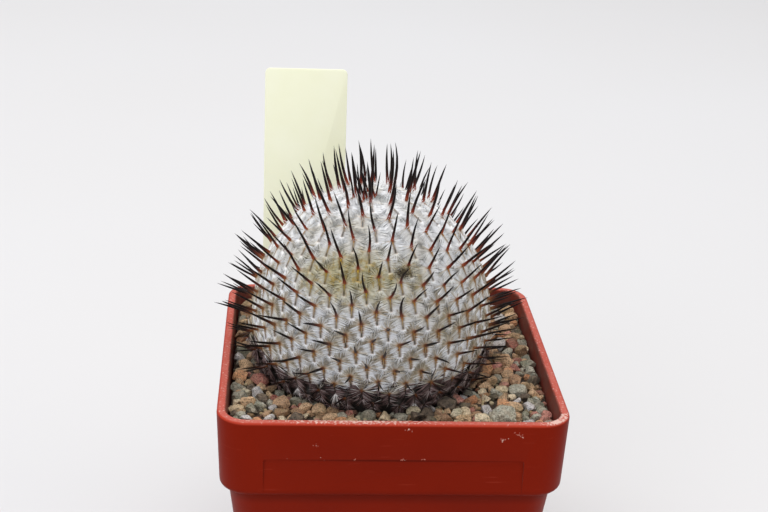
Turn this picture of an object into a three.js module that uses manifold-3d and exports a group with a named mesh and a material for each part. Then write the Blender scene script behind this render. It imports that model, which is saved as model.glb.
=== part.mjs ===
// A potted cactus, Mammillaria perezdelarosae, in a 6 cm square pot, in millimetres, +Z up.
// The origin is the middle of the pot's underside. +Y points away from the viewer, +X to the right.
// The pot, the soil with its gravel, the plant and its label are separate solids.

import * as THREE from 'three';
import { ConvexHull } from 'three/addons/math/ConvexHull.js';
import { ConvexGeometry } from 'three/addons/geometries/ConvexGeometry.js';
import { mergeVertices } from 'three/addons/utils/BufferGeometryUtils.js';
import Module from 'manifold-3d';

const wasm = await Module();
wasm.setup();

// Driving dimensions

const clearance = 0.35;             // gap between neighbouring solids
const finestEdge = 0.006;           // a joined piece may leave no shorter edge and no thinner face

const pot = {
  rimWidth: 60,                     // across the outside of the rim
  height: 55,
  collarHeight: 14.2,
  collarFootWidth: 59,              // across the collar at its lower edge
  bodyTopWidth: 56.2,               // across the walls just under the collar
  baseWidth: 46,
  cornerRadius: 5,
  cornerSteps: 6,
  rimWall: 1.6,
  bodyWall: 1.3,
  floor: 1.4,
  edgeRound: 0.5,
  panelWidth: 44,                   // pressed panel in the lower half of each collar face
  panelDrop: 6.9,                   // from the rim down to the panel's upper edge
  panelDepth: 0.5,
  holeRadius: 2.5,
  holeOffset: 11,
  grooveWidth: 3,
  grooveDepth: 0.7,
};

const soil = {
  top: 51.6,                        // mean level of the soil, 3.4 mm under the rim
  grainCount: 175,
  grainCorners: 8,
  grainRadius: [2.3, 0.9],          // the large ones are laid first
  grainCrowding: 0.75,              // least spacing of two grains as a share of their radii
  grainTop: 53.7,                   // no grain stands higher
};

const stem = {
  centre: new THREE.Vector3(-3, 0.5, 61.3),
  tipRadius: new THREE.Vector2(22.0, 24.6),      // across and upwards, at the areoles
  ridgeSink: 1.0,                   // how far the crossing ridges lie below the areoles
  grooveSink: 2.1,                  // how far the pits between tubercles lie below the areoles
  leanLeft: 5,                      // degrees
  leanForward: 5,
  perHemisphere: 268,
  firstTurn: 200,                   // degrees
  collarLevel: 52.4,                // tubercles stand above this level
  firstAreole: 1.4,                 // the lowest areole's height above that
  collarSink: 1.3,
  rootLevels: [50.5, 47.5, 45.0],   // rings of the smooth foot in the soil
  rootBottom: 43.2,
};

const spine = {
  length: [5.6, 7.4],
  apexLength: 8.2,
  footShare: 0.72,                  // of that length on the lowest spines
  radius: 0.42,                     // of the three-sided section at the areole
  bendRadius: 0.3,
  bendAt: 0.5,
  lift: new THREE.Vector3(-0.06, 0.05, 0.36),    // spines turn up towards the light
  scatter: 0.18,
  bow: 0.06,                        // sideways bow as a share of the length
  keepApart: 0.95,
  tuftCount: 9,                     // young spines standing together in the crown
  tuftReach: 3.2,
  skirtHeight: 6.5,                 // areoles this near the soil carry a second spine
};

const label = {
  width: 16,
  thickness: 0.8,
  length: 92,
  pointLength: 28,
  pointWidth: 3,
  lean: 7.4,                        // degrees, back against the rear wall
  x: -15.3,
  topZ: 99,
};

const rad = THREE.MathUtils.degToRad;
const up = new THREE.Vector3(0, 0, 1);

// Small helpers

// Repeatable random numbers from 0 to 1
function randomSource(seed) {
  let state = seed >>> 0;
  return () => {
    state = (state + 0x6d2b79f5) >>> 0;
    let t = state;
    t = Math.imul(t ^ (t >>> 15), t | 1);
    t ^= t + Math.imul(t ^ (t >>> 7), t | 61);
    return ((t ^ (t >>> 14)) >>> 0) / 4294967296;
  };
}

function between(random, [low, high]) {
  return low + (high - low) * random();
}

function toSolid(geometry) {
  const bare = geometry.clone();
  bare.deleteAttribute('normal');
  bare.deleteAttribute('uv');
  const merged = mergeVertices(bare, 1e-4);
  return new wasm.Manifold(new wasm.Mesh({
    numProp: 3,
    vertProperties: Float32Array.from(merged.attributes.position.array),
    triVerts: Uint32Array.from(merged.index.array),
  }));
}

function toGeometry(solid) {
  const mesh = solid.getMesh();
  const geometry = new THREE.BufferGeometry();
  geometry.setAttribute('position', new THREE.BufferAttribute(Float32Array.from(mesh.vertProperties), 3));
  geometry.setIndex(new THREE.BufferAttribute(Uint32Array.from(mesh.triVerts), 1));
  geometry.computeVertexNormals();
  return geometry;
}

// The solid with the piece joined on, or the solid as it was where the join would leave a sliver
function joinCleanly(solid, piece) {
  const joined = solid.add(piece);
  const { vertProperties: v, triVerts: t } = joined.getMesh();
  const corner = (i) => new THREE.Vector3(v[3 * i], v[3 * i + 1], v[3 * i + 2]);
  for (let i = 0; i < t.length; i += 3) {
    const triangle = new THREE.Triangle(corner(t[i]), corner(t[i + 1]), corner(t[i + 2]));
    const edges = [
      triangle.a.distanceTo(triangle.b), triangle.b.distanceTo(triangle.c), triangle.c.distanceTo(triangle.a)];
    const thickness = 2 * triangle.getArea() / Math.max(...edges);
    if (Math.min(...edges) < finestEdge || thickness < finestEdge / 2) return solid;
  }
  return joined;
}

function indexedGeometry(points, faces) {
  const geometry = new THREE.BufferGeometry().setFromPoints(points);
  geometry.setIndex(faces.flat());
  geometry.computeVertexNormals();
  return geometry;
}

// A square with round corners at height z, counterclockwise from above
function roundedSquare(halfWidth, cornerRadius, z) {
  const points = [];
  const inset = halfWidth - cornerRadius;
  for (let corner = 0; corner < 4; corner++) {
    const start = corner * Math.PI / 2;
    const cx = inset * Math.SQRT2 * Math.cos(start + Math.PI / 4);
    const cy = inset * Math.SQRT2 * Math.sin(start + Math.PI / 4);
    for (let step = 0; step <= pot.cornerSteps; step++) {
      const angle = start + step / pot.cornerSteps * Math.PI / 2;
      const x = cx + cornerRadius * Math.cos(angle);
      const y = cy + cornerRadius * Math.sin(angle);
      points.push(new THREE.Vector3(x, y, z));
    }
  }
  return points;
}

// A closed skin over rings of equal length, with a flat cap on the first and last
function loft(rings) {
  const points = rings.flat();
  const count = rings[0].length;
  const faces = [];
  for (let r = 0; r + 1 < rings.length; r++) {
    for (let i = 0; i < count; i++) {
      const a = r * count + i;
      const b = r * count + (i + 1) % count;
      faces.push([a, b, b + count], [a, b + count, a + count]);
    }
  }
  const last = (rings.length - 1) * count;
  for (let i = 1; i + 1 < count; i++) {
    faces.push([0, i + 1, i], [last, last + i, last + i + 1]);
  }
  return indexedGeometry(points, faces);
}

// The pot

const collarFootZ = pot.height - pot.collarHeight;

// Half the width of the outside of the sloping walls at height z
function bodyHalf(z) {
  return THREE.MathUtils.mapLinear(z, 0, collarFootZ, pot.baseWidth / 2, pot.bodyTopWidth / 2);
}

// Half the width of the outside of the collar at height z
function collarHalf(z) {
  return THREE.MathUtils.mapLinear(z, collarFootZ, pot.height, pot.collarFootWidth / 2, pot.rimWidth / 2);
}

function innerHalf(z) {
  if (z <= collarFootZ - pot.bodyWall) return bodyHalf(z) - pot.bodyWall;
  return collarHalf(z) - pot.rimWall;
}

function makePot() {
  const rim = pot.rimWidth / 2;
  const foot = pot.collarFootWidth / 2;
  const round = pot.edgeRound;
  const shelf = collarFootZ - pot.bodyWall;
  const r = pot.cornerRadius;
  const rings = [
    roundedSquare(bodyHalf(0) - round, r - 1.5, 0),
    roundedSquare(bodyHalf(round), r - 1, round),
    roundedSquare(bodyHalf(collarFootZ), r - 0.5, collarFootZ),
    roundedSquare(foot - round, r - round, collarFootZ),
    roundedSquare(foot, r, collarFootZ + round),
    roundedSquare(rim, r, pot.height - round),
    roundedSquare(rim - round, r - round, pot.height),
    roundedSquare(rim - pot.rimWall + round / 2, r - pot.rimWall + round / 2, pot.height),
    roundedSquare(rim - pot.rimWall, r - pot.rimWall, pot.height - round / 2),
    roundedSquare(innerHalf(shelf + pot.rimWall), r - pot.rimWall, shelf + pot.rimWall),
    roundedSquare(innerHalf(shelf), r - pot.rimWall, shelf),
    roundedSquare(innerHalf(pot.floor), r - pot.rimWall - 0.5, pot.floor),
  ];
  let solid = toSolid(loft(rings));

  const slope = Math.atan2(rim - foot, pot.collarHeight);
  const panelHeight = pot.collarHeight - pot.panelDrop;
  for (let side = 0; side < 4; side++) {
    const panel = new THREE.BoxGeometry(pot.panelWidth, 2, panelHeight * 2);
    panel.translate(0, -1 + pot.panelDepth, -panelHeight);
    panel.rotateX(-slope);
    panel.translate(0, -(rim - pot.panelDrop * Math.tan(slope)), pot.height - pot.panelDrop);
    const lower = new THREE.BoxGeometry(pot.rimWidth * 2, pot.rimWidth * 2, collarFootZ);
    lower.translate(0, 0, collarFootZ / 2);
    const cutter = toSolid(panel).subtract(toSolid(lower)).rotate([0, 0, side * 90]);
    solid = solid.subtract(cutter);
  }

  for (let corner = 0; corner < 4; corner++) {
    const hole = new THREE.CylinderGeometry(pot.holeRadius, pot.holeRadius, pot.floor * 4, 14);
    hole.rotateX(Math.PI / 2);
    hole.translate(pot.holeOffset, pot.holeOffset, 0);
    const grooveStart = pot.holeOffset * Math.SQRT2 + pot.holeRadius / 2;
    const grooveLength = pot.baseWidth;
    const groove = new THREE.BoxGeometry(grooveLength, pot.grooveWidth, pot.grooveDepth * 2);
    groove.translate(grooveStart + grooveLength / 2, 0, 0);
    groove.rotateZ(Math.PI / 4);
    const cut = toSolid(hole).add(toSolid(groove)).rotate([0, 0, corner * 90]);
    solid = solid.subtract(cut);
  }
  return toGeometry(solid);
}

// The plant

const plantTurn = new THREE.Quaternion().setFromUnitVectors(
  up,
  new THREE.Vector3(-Math.sin(rad(stem.leanLeft)), -Math.sin(rad(stem.leanForward)), 1).normalize(),
);

// The point of the globe at the areoles' radius, less a sink, in a unit direction from its centre
function onStem(direction, sink = 0) {
  const across = Math.hypot(direction.x, direction.y) / stem.tipRadius.x;
  const upwards = direction.z / stem.tipRadius.y;
  const distance = 1 / Math.hypot(across, upwards) - sink;
  return direction.clone().multiplyScalar(distance).add(stem.centre);
}

function stemRadiusAt(z, sink) {
  const upwards = (z - stem.centre.z) / (stem.tipRadius.y - sink);
  return (stem.tipRadius.x - sink) * Math.sqrt(1 - upwards * upwards);
}

// Areoles follow one spiral of equal areas and the golden angle, from the crown down to the soil
function areoleDirections() {
  const goldenAngle = Math.PI * (3 - Math.sqrt(5));
  const directions = [];
  for (let n = 0; n < 2 * stem.perHemisphere; n++) {
    const height = 1 - (n + 0.5) / stem.perHemisphere;
    const turn = rad(stem.firstTurn) - n * goldenAngle;
    const flat = Math.sqrt(1 - height * height);
    const direction = new THREE.Vector3(flat * Math.cos(turn), flat * Math.sin(turn), height);
    direction.applyQuaternion(plantTurn);
    if (onStem(direction).z > stem.collarLevel + stem.firstAreole) directions.push(direction);
  }
  return directions;
}

function rootRings() {
  const rings = [];
  [stem.collarLevel, ...stem.rootLevels].forEach((z, level) => {
    const count = level === 0 ? 44 : 24;
    const radius = stemRadiusAt(z, stem.collarSink);
    for (let i = 0; i < count; i++) {
      const angle = (i + 0.5 * (level % 2)) / count * 2 * Math.PI;
      rings.push(new THREE.Vector3(
        stem.centre.x + radius * Math.cos(angle), stem.centre.y + radius * Math.sin(angle), z));
    }
  });
  const radius = stemRadiusAt(stem.rootLevels.at(-1), stem.collarSink) * 0.7;
  for (let i = 0; i < 12; i++) {
    const angle = i / 12 * 2 * Math.PI;
    rings.push(new THREE.Vector3(
      stem.centre.x + radius * Math.cos(angle), stem.centre.y + radius * Math.sin(angle), stem.rootBottom));
  }
  return rings;
}

// Shortest distance between two straight stretches, sampled finely enough for spines
function stretchDistance(a0, a1, b0, b1) {
  const line = new THREE.Line3(b0, b1);
  const near = new THREE.Vector3();
  const point = new THREE.Vector3();
  let best = Infinity;
  for (let i = 0; i <= 8; i++) {
    point.lerpVectors(a0, a1, i / 8);
    line.closestPointToPoint(point, true, near);
    best = Math.min(best, near.distanceTo(point));
  }
  return best;
}

const labelNormal = new THREE.Vector3(0, Math.cos(rad(label.lean)), -Math.sin(rad(label.lean)));
const labelTop = new THREE.Vector3(
  label.x, pot.rimWidth / 2 - pot.rimWall - clearance - label.thickness / 2 +
    (label.topZ - pot.height) * Math.tan(rad(label.lean)), label.topZ);

// True where a point of a spine keeps clear of the gravel, the rim and the label
function spinePointIsFree(point) {
  const outward = Math.max(Math.abs(point.x), Math.abs(point.y));
  const fromAxis = Math.hypot(point.x - stem.centre.x, point.y - stem.centre.y);
  const overGravel = fromAxis < stemRadiusAt(stem.collarLevel, 0) || point.z > soil.grainTop + 0.7;
  const overRim = outward < pot.rimWidth / 2 - pot.rimWall - 0.9 || point.z > pot.height + 0.8;
  const toLabel = point.clone().sub(labelTop).dot(labelNormal);
  const besideLabel = Math.abs(point.x - label.x) > label.width / 2 + 0.9;
  return overGravel && overRim && (besideLabel || toLabel < -label.thickness / 2 - 0.8);
}

// The middle and the tip of one spine from its areole
function spineCourse(root, normal, length, random) {
  const aim = normal.clone().add(spine.lift);
  aim.x += spine.scatter * (2 * random() - 1);
  aim.y += spine.scatter * (2 * random() - 1);
  aim.z += spine.scatter * (2 * random() - 1);
  aim.normalize();
  const side = new THREE.Vector3().crossVectors(aim, up).normalize();
  const bow = length * spine.bow * (2 * random() - 1);
  for (let lift = 0; lift < 40; lift++) {
    const middle = root.clone().addScaledVector(aim, length * spine.bendAt).addScaledVector(side, bow);
    const tip = root.clone().addScaledVector(aim, length);
    const samples = [0.25, 0.5, 0.75, 1].map((t) => (
      t < spine.bendAt
        ? root.clone().lerp(middle, t / spine.bendAt)
        : middle.clone().lerp(tip, (t - spine.bendAt) / (1 - spine.bendAt))));
    if (samples.every(spinePointIsFree)) return [middle, tip];
    aim.z += 0.06;
    aim.normalize();
  }
  return null;
}

function spinesCross(course, others) {
  return others.some((other) => (
    stretchDistance(course[0], course[1], other[0], other[1]) < spine.keepApart ||
    stretchDistance(course[0], course[1], other[1], other[2]) < spine.keepApart ||
    stretchDistance(course[1], course[2], other[0], other[1]) < spine.keepApart ||
    stretchDistance(course[1], course[2], other[1], other[2]) < spine.keepApart));
}

// One spine for each areole: its root, its middle and its tip
function spineCourses(directions) {
  const random = randomSource(41);
  const courses = [];
  for (const direction of directions) {
    const root = onStem(direction);
    const crown = THREE.MathUtils.smoothstep(direction.z, 0.8, 1);
    const foot = THREE.MathUtils.lerp(1, spine.footShare, THREE.MathUtils.smoothstep(-direction.z, -0.05, 0.2));
    let course = null;
    for (let tries = 0; tries < 60 && !course; tries++) {
      const length = THREE.MathUtils.lerp(between(random, spine.length), spine.apexLength, crown) * foot;
      const found = spineCourse(root, direction, length * (1 - 0.4 * tries / 60), random);
      if (found && !spinesCross([root, ...found], courses)) course = [root, ...found];
    }
    const stump = [1, 2].map((reach) => root.clone().addScaledVector(direction, reach));
    courses.push(course ?? [root, ...stump]);
  }
  return courses;
}

// The crown's tuft of young spines, and the second spines of the crowded areoles at the soil
function extraCourses(directions, courses) {
  const random = randomSource(97);
  const extra = [];
  function tryAt(direction, lengths, sink) {
    const root = onStem(direction, sink);
    const found = spineCourse(root, direction, between(random, lengths), random);
    if (found && !spinesCross([root, ...found], [...courses, ...extra])) extra.push([root, ...found]);
  }
  for (let tries = 0; tries < 400 && extra.length < spine.tuftCount; tries++) {
    const reach = spine.tuftReach / stem.tipRadius.y;
    const direction = new THREE.Vector3(reach * (2 * random() - 1), reach * (2 * random() - 1), 1).normalize();
    tryAt(direction.applyQuaternion(plantTurn), [spine.apexLength * 0.8, spine.apexLength * 1.1], 1.6);
  }
  for (const direction of directions) {
    if (onStem(direction).z > stem.collarLevel + spine.skirtHeight) continue;
    const before = extra.length;
    for (let tries = 0; tries < 12 && extra.length === before; tries++) {
      const aside = direction.clone().applyAxisAngle(up, 0.06 + 0.05 * random());
      tryAt(aside, spine.length, 1.6);
    }
  }
  return extra;
}

// Splits each triangle between areoles at its edges and middle, so that ridges run from every areole
// to its neighbours and pits lie between them, then draws the spine out of the areole
function makePlant() {
  const directions = areoleDirections();
  const roots = rootRings();
  const anchors = [...directions, ...roots.map((p) => p.clone().sub(stem.centre).normalize())];
  const points = [...directions.map((d) => onStem(d)), ...roots];
  const areoleCount = directions.length;

  const hull = new ConvexHull().setFromPoints(anchors);
  const number = new Map(anchors.map((anchor, i) => [anchor, i]));
  const triangles = hull.faces.map((face) => {
    const corners = [];
    let edge = face.edge;
    do {
      corners.push(number.get(edge.head().point));
      edge = edge.next;
    } while (edge !== face.edge);
    return corners;
  });

  const ridges = new Map();
  function ridgeBetween(a, b) {
    if (a >= areoleCount || b >= areoleCount) return [];
    const key = a < b ? `${a},${b}` : `${b},${a}`;
    if (!ridges.has(key)) {
      ridges.set(key, points.length);
      points.push(onStem(anchors[a].clone().add(anchors[b]).normalize(), stem.ridgeSink));
    }
    return [ridges.get(key)];
  }

  const faces = [];
  for (const [a, b, c] of triangles) {
    const border = [a, ...ridgeBetween(a, b), b, ...ridgeBetween(b, c), c, ...ridgeBetween(c, a)];
    if (border.length === 3) {
      faces.push(border);
      continue;
    }
    const middle = points.length;
    const share = (border.length - 3) / 3;
    const pit = anchors[a].clone().add(anchors[b]).add(anchors[c]).normalize();
    points.push(onStem(pit, THREE.MathUtils.lerp(stem.collarSink, stem.grooveSink, share)));
    border.forEach((corner, i) => faces.push([corner, border[(i + 1) % border.length], middle]));
  }

  const around = directions.map(() => new Map());
  const kept = [];
  for (const face of faces) {
    const areole = face.findIndex((corner) => corner < areoleCount);
    if (areole < 0) {
      kept.push(face);
      continue;
    }
    const tip = face[areole];
    around[tip].set(face[(areole + 1) % 3], face[(areole + 2) % 3]);
  }

  const courses = spineCourses(directions);
  courses.forEach((course, areole) => {
    const ring = [around[areole].keys().next().value];
    while (ring.length < around[areole].size) ring.push(around[areole].get(ring.at(-1)));
    drawSpine(points, kept, ring, course, directions[areole]);
  });
  let solid = toSolid(indexedGeometry(points, kept));
  for (const course of extraCourses(directions, courses)) {
    const spinePoints = [];
    const spineFaces = [];
    drawSpine(spinePoints, spineFaces, null, course, course[2].clone().sub(course[0]).normalize());
    solid = joinCleanly(solid, toSolid(indexedGeometry(spinePoints, spineFaces)));
  }
  return toGeometry(solid);
}

// Carries the three sides of a spine out to its tip, from a ring of stem points or, with no ring,
// from a flat foot of its own
function drawSpine(points, faces, ring, [root, middle, tip], normal) {
  const e1 = new THREE.Vector3().crossVectors(up, normal).normalize();
  const e2 = new THREE.Vector3().crossVectors(normal, e1);
  function section(centre, radius) {
    return [90, 210, 330].map((degrees) => {
      points.push(centre.clone()
        .addScaledVector(e1, radius * Math.cos(rad(degrees)))
        .addScaledVector(e2, radius * Math.sin(rad(degrees))));
      return points.length - 1;
    });
  }
  const foot = section(root, spine.radius);
  const bend = section(middle, spine.bendRadius);
  points.push(tip);
  const end = points.length - 1;

  const turn = (index) => {
    const v = points[index].clone().sub(root);
    return (Math.atan2(v.dot(e2), v.dot(e1)) + 2 * Math.PI) % (2 * Math.PI);
  };
  const nearest = (index) => {
    const angle = turn(index);
    const gaps = foot.map((corner) => {
      const gap = Math.abs(turn(corner) - angle);
      return Math.min(gap, 2 * Math.PI - gap);
    });
    return gaps.indexOf(Math.min(...gaps));
  };
  ring?.forEach((corner, i) => {
    const next = ring[(i + 1) % ring.length];
    const from = nearest(corner);
    const to = nearest(next);
    faces.push([corner, next, foot[from]]);
    if (from !== to) faces.push([next, foot[to], foot[from]]);
  });
  if (!ring) faces.push([foot[2], foot[1], foot[0]]);
  for (let i = 0; i < 3; i++) {
    const j = (i + 1) % 3;
    faces.push([foot[i], foot[j], bend[j]], [foot[i], bend[j], bend[i]], [bend[i], bend[j], end]);
  }
}

// The soil and its gravel

// One broken stone: the hull of scattered points on a squashed ball
function grainGeometry(random, radius) {
  const points = [];
  const flat = 0.65 + 0.25 * random();
  const long = 0.85 + 0.4 * random();
  for (let i = 0; i < soil.grainCorners; i++) {
    const height = 2 * (i + 0.5) / soil.grainCorners - 1;
    const turn = i * 2.4 + random();
    const wide = Math.sqrt(1 - height * height);
    const size = radius * (0.85 + 0.3 * random());
    const point = new THREE.Vector3(long * wide * Math.cos(turn), wide * Math.sin(turn), flat * height);
    points.push(point.multiplyScalar(size));
  }
  const grain = new ConvexGeometry(points);
  grain.rotateX(0.5 * (random() - 0.5));
  grain.rotateZ(2 * Math.PI * random());
  return grain;
}

// True where a grain lies inside the walls and clear of the plant and the label
function grainFits(grain) {
  const wall = innerHalf(soil.top) - clearance - 0.05;
  const round = pot.cornerRadius - pot.rimWall;
  const plant = stemRadiusAt(stem.collarLevel, stem.collarSink) + clearance * 2.5;
  const corners = grain.attributes.position;
  for (let i = 0; i < corners.count; i++) {
    const x = corners.getX(i);
    const y = corners.getY(i);
    const pastX = Math.max(Math.abs(x) - wall + round, 0);
    const pastY = Math.max(Math.abs(y) - wall + round, 0);
    const inPlant = Math.hypot(x - stem.centre.x, y - stem.centre.y) < plant;
    const inLabel = Math.abs(x - label.x) < label.width / 2 + clearance * 2 && y > wall - label.thickness - 1.6;
    if (Math.hypot(pastX, pastY) > round || inPlant || inLabel) return false;
  }
  return true;
}

function makeSoil() {
  const shelf = collarFootZ - pot.bodyWall;
  const radius = pot.cornerRadius - pot.rimWall - clearance;
  const bottom = pot.floor + clearance;
  const rings = [
    roundedSquare(innerHalf(bottom) - clearance, radius - 0.5, bottom),
    roundedSquare(innerHalf(shelf) - clearance, radius, shelf),
    roundedSquare(innerHalf(shelf + pot.rimWall) - clearance, radius, shelf + pot.rimWall + clearance),
    roundedSquare(innerHalf(soil.top) - clearance, radius, soil.top),
  ];
  let solid = toSolid(loft(rings));

  const random = randomSource(7);
  const placed = [];
  for (let tries = 0; tries < 20000 && placed.length < soil.grainCount; tries++) {
    const spread = 0.85 + 0.3 * random();
    const size = THREE.MathUtils.lerp(...soil.grainRadius, placed.length / soil.grainCount) * spread;
    const x = (2 * random() - 1) * innerHalf(soil.top);
    const y = (2 * random() - 1) * innerHalf(soil.top);
    if (placed.some((g) => Math.hypot(g.x - x, g.y - y) < (g.size + size) * soil.grainCrowding)) continue;
    const grain = grainGeometry(random, size);
    grain.translate(x, y, 0);
    grain.computeBoundingBox();
    const top = soil.top + size * (0.45 + 0.4 * random());
    grain.translate(0, 0, Math.min(top, soil.grainTop) - grain.boundingBox.max.z);
    if (!grainFits(grain)) continue;
    const joined = joinCleanly(solid, toSolid(grain));
    if (joined === solid) continue;
    solid = joined;
    placed.push({ x, y, size });
  }

  const profile = [new THREE.Vector2(0, stem.rootBottom - clearance)];
  const foot = stemRadiusAt(stem.rootLevels.at(-1), stem.collarSink) * 0.7 + clearance;
  profile.push(new THREE.Vector2(foot, stem.rootBottom - clearance));
  for (const z of [...stem.rootLevels].reverse()) {
    profile.push(new THREE.Vector2(stemRadiusAt(z, stem.collarSink) + clearance * 1.2, z - clearance / 2));
  }
  const mouth = stemRadiusAt(stem.collarLevel, stem.collarSink) + clearance;
  profile.push(new THREE.Vector2(mouth, stem.collarLevel));
  profile.push(new THREE.Vector2(0, stem.collarLevel));
  const hole = new THREE.LatheGeometry(profile, 48);
  hole.rotateX(Math.PI / 2);
  hole.translate(stem.centre.x, stem.centre.y, 0);
  const slot = labelGeometry(clearance, 3);
  return toGeometry(solid.subtract(toSolid(hole)).subtract(toSolid(slot)));
}

// The label

// A stake with a long point, grown on all sides by a margin and at the back by more
function labelGeometry(margin, behind = margin) {
  const half = label.width / 2 + margin;
  const point = label.pointWidth / 2 + margin;
  const outline = new THREE.Shape();
  const round = 0.8;
  outline.moveTo(-half + round, margin);
  outline.lineTo(-half, -round + margin);
  outline.lineTo(-half, -(label.length - label.pointLength));
  outline.lineTo(-point, -label.length - margin);
  outline.lineTo(point, -label.length - margin);
  outline.lineTo(half, -(label.length - label.pointLength));
  outline.lineTo(half, -round + margin);
  outline.lineTo(half - round, margin);
  const depth = label.thickness + margin + behind;
  const plate = new THREE.ExtrudeGeometry(outline, { depth, bevelEnabled: false });
  plate.translate(0, 0, -label.thickness / 2 - behind);
  plate.rotateX(Math.PI / 2);
  plate.rotateX(-rad(label.lean));
  plate.translate(labelTop.x, labelTop.y, labelTop.z);
  return plate;
}

// The model

function addPiece(group, name, geometry, colour, roughness) {
  const material = new THREE.MeshStandardMaterial({ color: colour, roughness, metalness: 0 });
  const mesh = new THREE.Mesh(geometry, material);
  mesh.name = name;
  group.add(mesh);
}

const pottedCactus = new THREE.Group();
addPiece(pottedCactus, 'pot', makePot(), '#98241a', 0.42);
addPiece(pottedCactus, 'soil', makeSoil(), '#8a7560', 0.95);
addPiece(pottedCactus, 'cactus', makePlant(), '#d9dcd8', 0.8);
addPiece(pottedCactus, 'label', labelGeometry(0), '#ebecd2', 0.5);

export default pottedCactus;
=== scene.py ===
# A potted cactus, Mammillaria perezdelarosae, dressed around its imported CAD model.
# Sizes are written in millimetres and turned to metres by MM. +X is right, +Y away from the viewer.

import math
import random
from collections import namedtuple
from functools import partial

import bmesh
import bpy
from mathutils import Matrix, Vector, noise


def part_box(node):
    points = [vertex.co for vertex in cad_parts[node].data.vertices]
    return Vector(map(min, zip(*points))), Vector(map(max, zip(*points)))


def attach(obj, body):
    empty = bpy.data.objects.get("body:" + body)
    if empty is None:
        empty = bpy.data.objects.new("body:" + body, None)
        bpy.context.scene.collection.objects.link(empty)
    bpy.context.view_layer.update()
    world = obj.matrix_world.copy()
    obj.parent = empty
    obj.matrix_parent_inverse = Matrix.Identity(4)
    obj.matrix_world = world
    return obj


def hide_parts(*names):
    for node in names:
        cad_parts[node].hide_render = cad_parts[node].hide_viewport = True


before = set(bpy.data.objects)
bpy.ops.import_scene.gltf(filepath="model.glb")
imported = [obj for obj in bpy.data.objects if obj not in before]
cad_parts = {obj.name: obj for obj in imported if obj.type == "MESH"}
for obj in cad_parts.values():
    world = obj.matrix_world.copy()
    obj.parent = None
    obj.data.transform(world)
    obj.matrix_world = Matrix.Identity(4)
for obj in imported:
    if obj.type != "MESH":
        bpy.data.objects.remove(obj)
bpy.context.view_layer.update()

MM = 0.001
NEAR = 0.01                      # two places this close are the same place, mm
LEVEL = 0.9                      # least upright part of a level face's normal
UP = Vector((0, 0, 1))

# The pot's sizes, as in the CAD model

RIM_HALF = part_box("pot")[1].x / MM
RIM_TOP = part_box("pot")[1].z / MM
COLLAR_FOOT = RIM_TOP - 14.2
COLLAR_FOOT_HALF = 29.5
BODY_TOP_HALF = 28.1
BASE_HALF = 23.0
CORNER_RADIUS = 5.0              # of the rim's corners
BASE_CORNER_RADIUS = 4.0
RIM_WALL = 1.6
BODY_WALL = 1.3
POT_FLOOR = 1.4
PANEL_WIDTH = 44.0
PANEL_TOP = RIM_TOP - 6.9
PANEL_DEPTH = 0.5
PANEL_ROUND = 0.5                # radius of its upper corners
HOLE_RADIUS = 2.5
HOLE_OFFSET = 11.0
HOLE_DRILL = 6.0                 # length of the drill that goes through the floor
GROOVE_WIDTH = 3.0
GROOVE_DEPTH = 0.7
COLLAR_ROUND = 1.1               # of the collar's lower edge
ROUNDED_RINGS = (                # other rounded edges: level, outside or inside, radius and steps
    (RIM_TOP, True, 0.55, 4), (RIM_TOP, False, 0.35, 3), (0, True, 0.8, 4), (POT_FLOOR, False, 1.2, 3),
)
FINE_ROUND = 0.14                # of every edge that is still sharp
SHARP_ANGLE = math.radians(35)   # least angle of a sharp edge

# The soil's sizes

SOIL_TOP = 51.2
BED_CELLS = 76                   # of the uneven sheet along each side
BED_WAVES = ((7, 0.45, 0), (1.3, 0.22, 9))   # length, height and layer of the noise
GAP = 0.35                       # between neighbouring solids

# The plant's sizes

STEM_CENTRE = Vector((-3.0, 0.5, 61.3))
STEM_ACROSS = 22.0               # radius at the areoles, level
STEM_UPWARDS = 24.6              # and straight up
STEM_LEAN = math.radians(5)      # to the left and to the front
PER_HEMISPHERE = 268             # areoles on a whole half globe
FIRST_TURN = math.radians(200)
SOIL_COLLAR = 52.4               # the stem stands free above this level
FOOT_LEVELS = (45.0, 47.5, 50.5, SOIL_COLLAR)
FOOT_BOTTOM = 43.2
FOOT_NARROWING = 0.7             # of the lowest ring at the bottom
FOOT_SINK = 1.3                  # how far the foot lies within the areoles' radius
CORE_SINK = 1.6                  # and the core of the stem
CORE_TOP = STEM_CENTRE.z + STEM_UPWARDS - 2.0

# The label's sizes

LABEL_HALF = 8.0
LABEL_THICK = 0.6
LABEL_LENGTH = 92.0
LABEL_POINT = 28.0
LABEL_TIP_HALF = 1.5
LABEL_LEAN = math.radians(7.4)
LABEL_X = -15.3
LABEL_CLEAR = 0.4                # from its middle to the wall at the rim, beyond the gap
LABEL_TOP = 99.0

# The camera and the lights

CAMERA_PLACE = Vector((-19.0, -245.1, 169.9))
CAMERA_YAW = math.radians(4.18)
CAMERA_PITCH = math.radians(21.47)
CAMERA_ROLL = math.radians(2.47)
CAMERA_LENS = 68.6
SOFTBOXES = (                    # name, place, target and size in m, power in W and colour
    ("softbox_above", (-0.15, 0.20, 1.30), (0, 0.1, 0), 1.7, 19.0, "#FFFFFF"),
    ("softbox_front", (-0.50, -0.85, 0.50), (0, 0, 0.06), 0.7, 3.6, "#F4F7FF"),
    ("softbox_right", (0.75, -0.40, 0.45), (0, 0, 0.06), 0.6, 1.3, "#FFFBF6"),
)
SKY_COLOUR = "#F3F5FA"
SKY_STRENGTH = 0.5


def linear(colour):
    """An sRGB hex colour as linear red, green, blue and alpha."""
    parts = [int(colour[i:i + 2], 16) / 255 for i in (1, 3, 5)]
    return [p / 12.92 if p <= 0.04045 else ((p + 0.055) / 1.055) ** 2.4 for p in parts] + [1.0]


def moved(place):
    """A matrix that moves by a vector in mm."""
    return Matrix.Translation(Vector(place) * MM)


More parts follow.
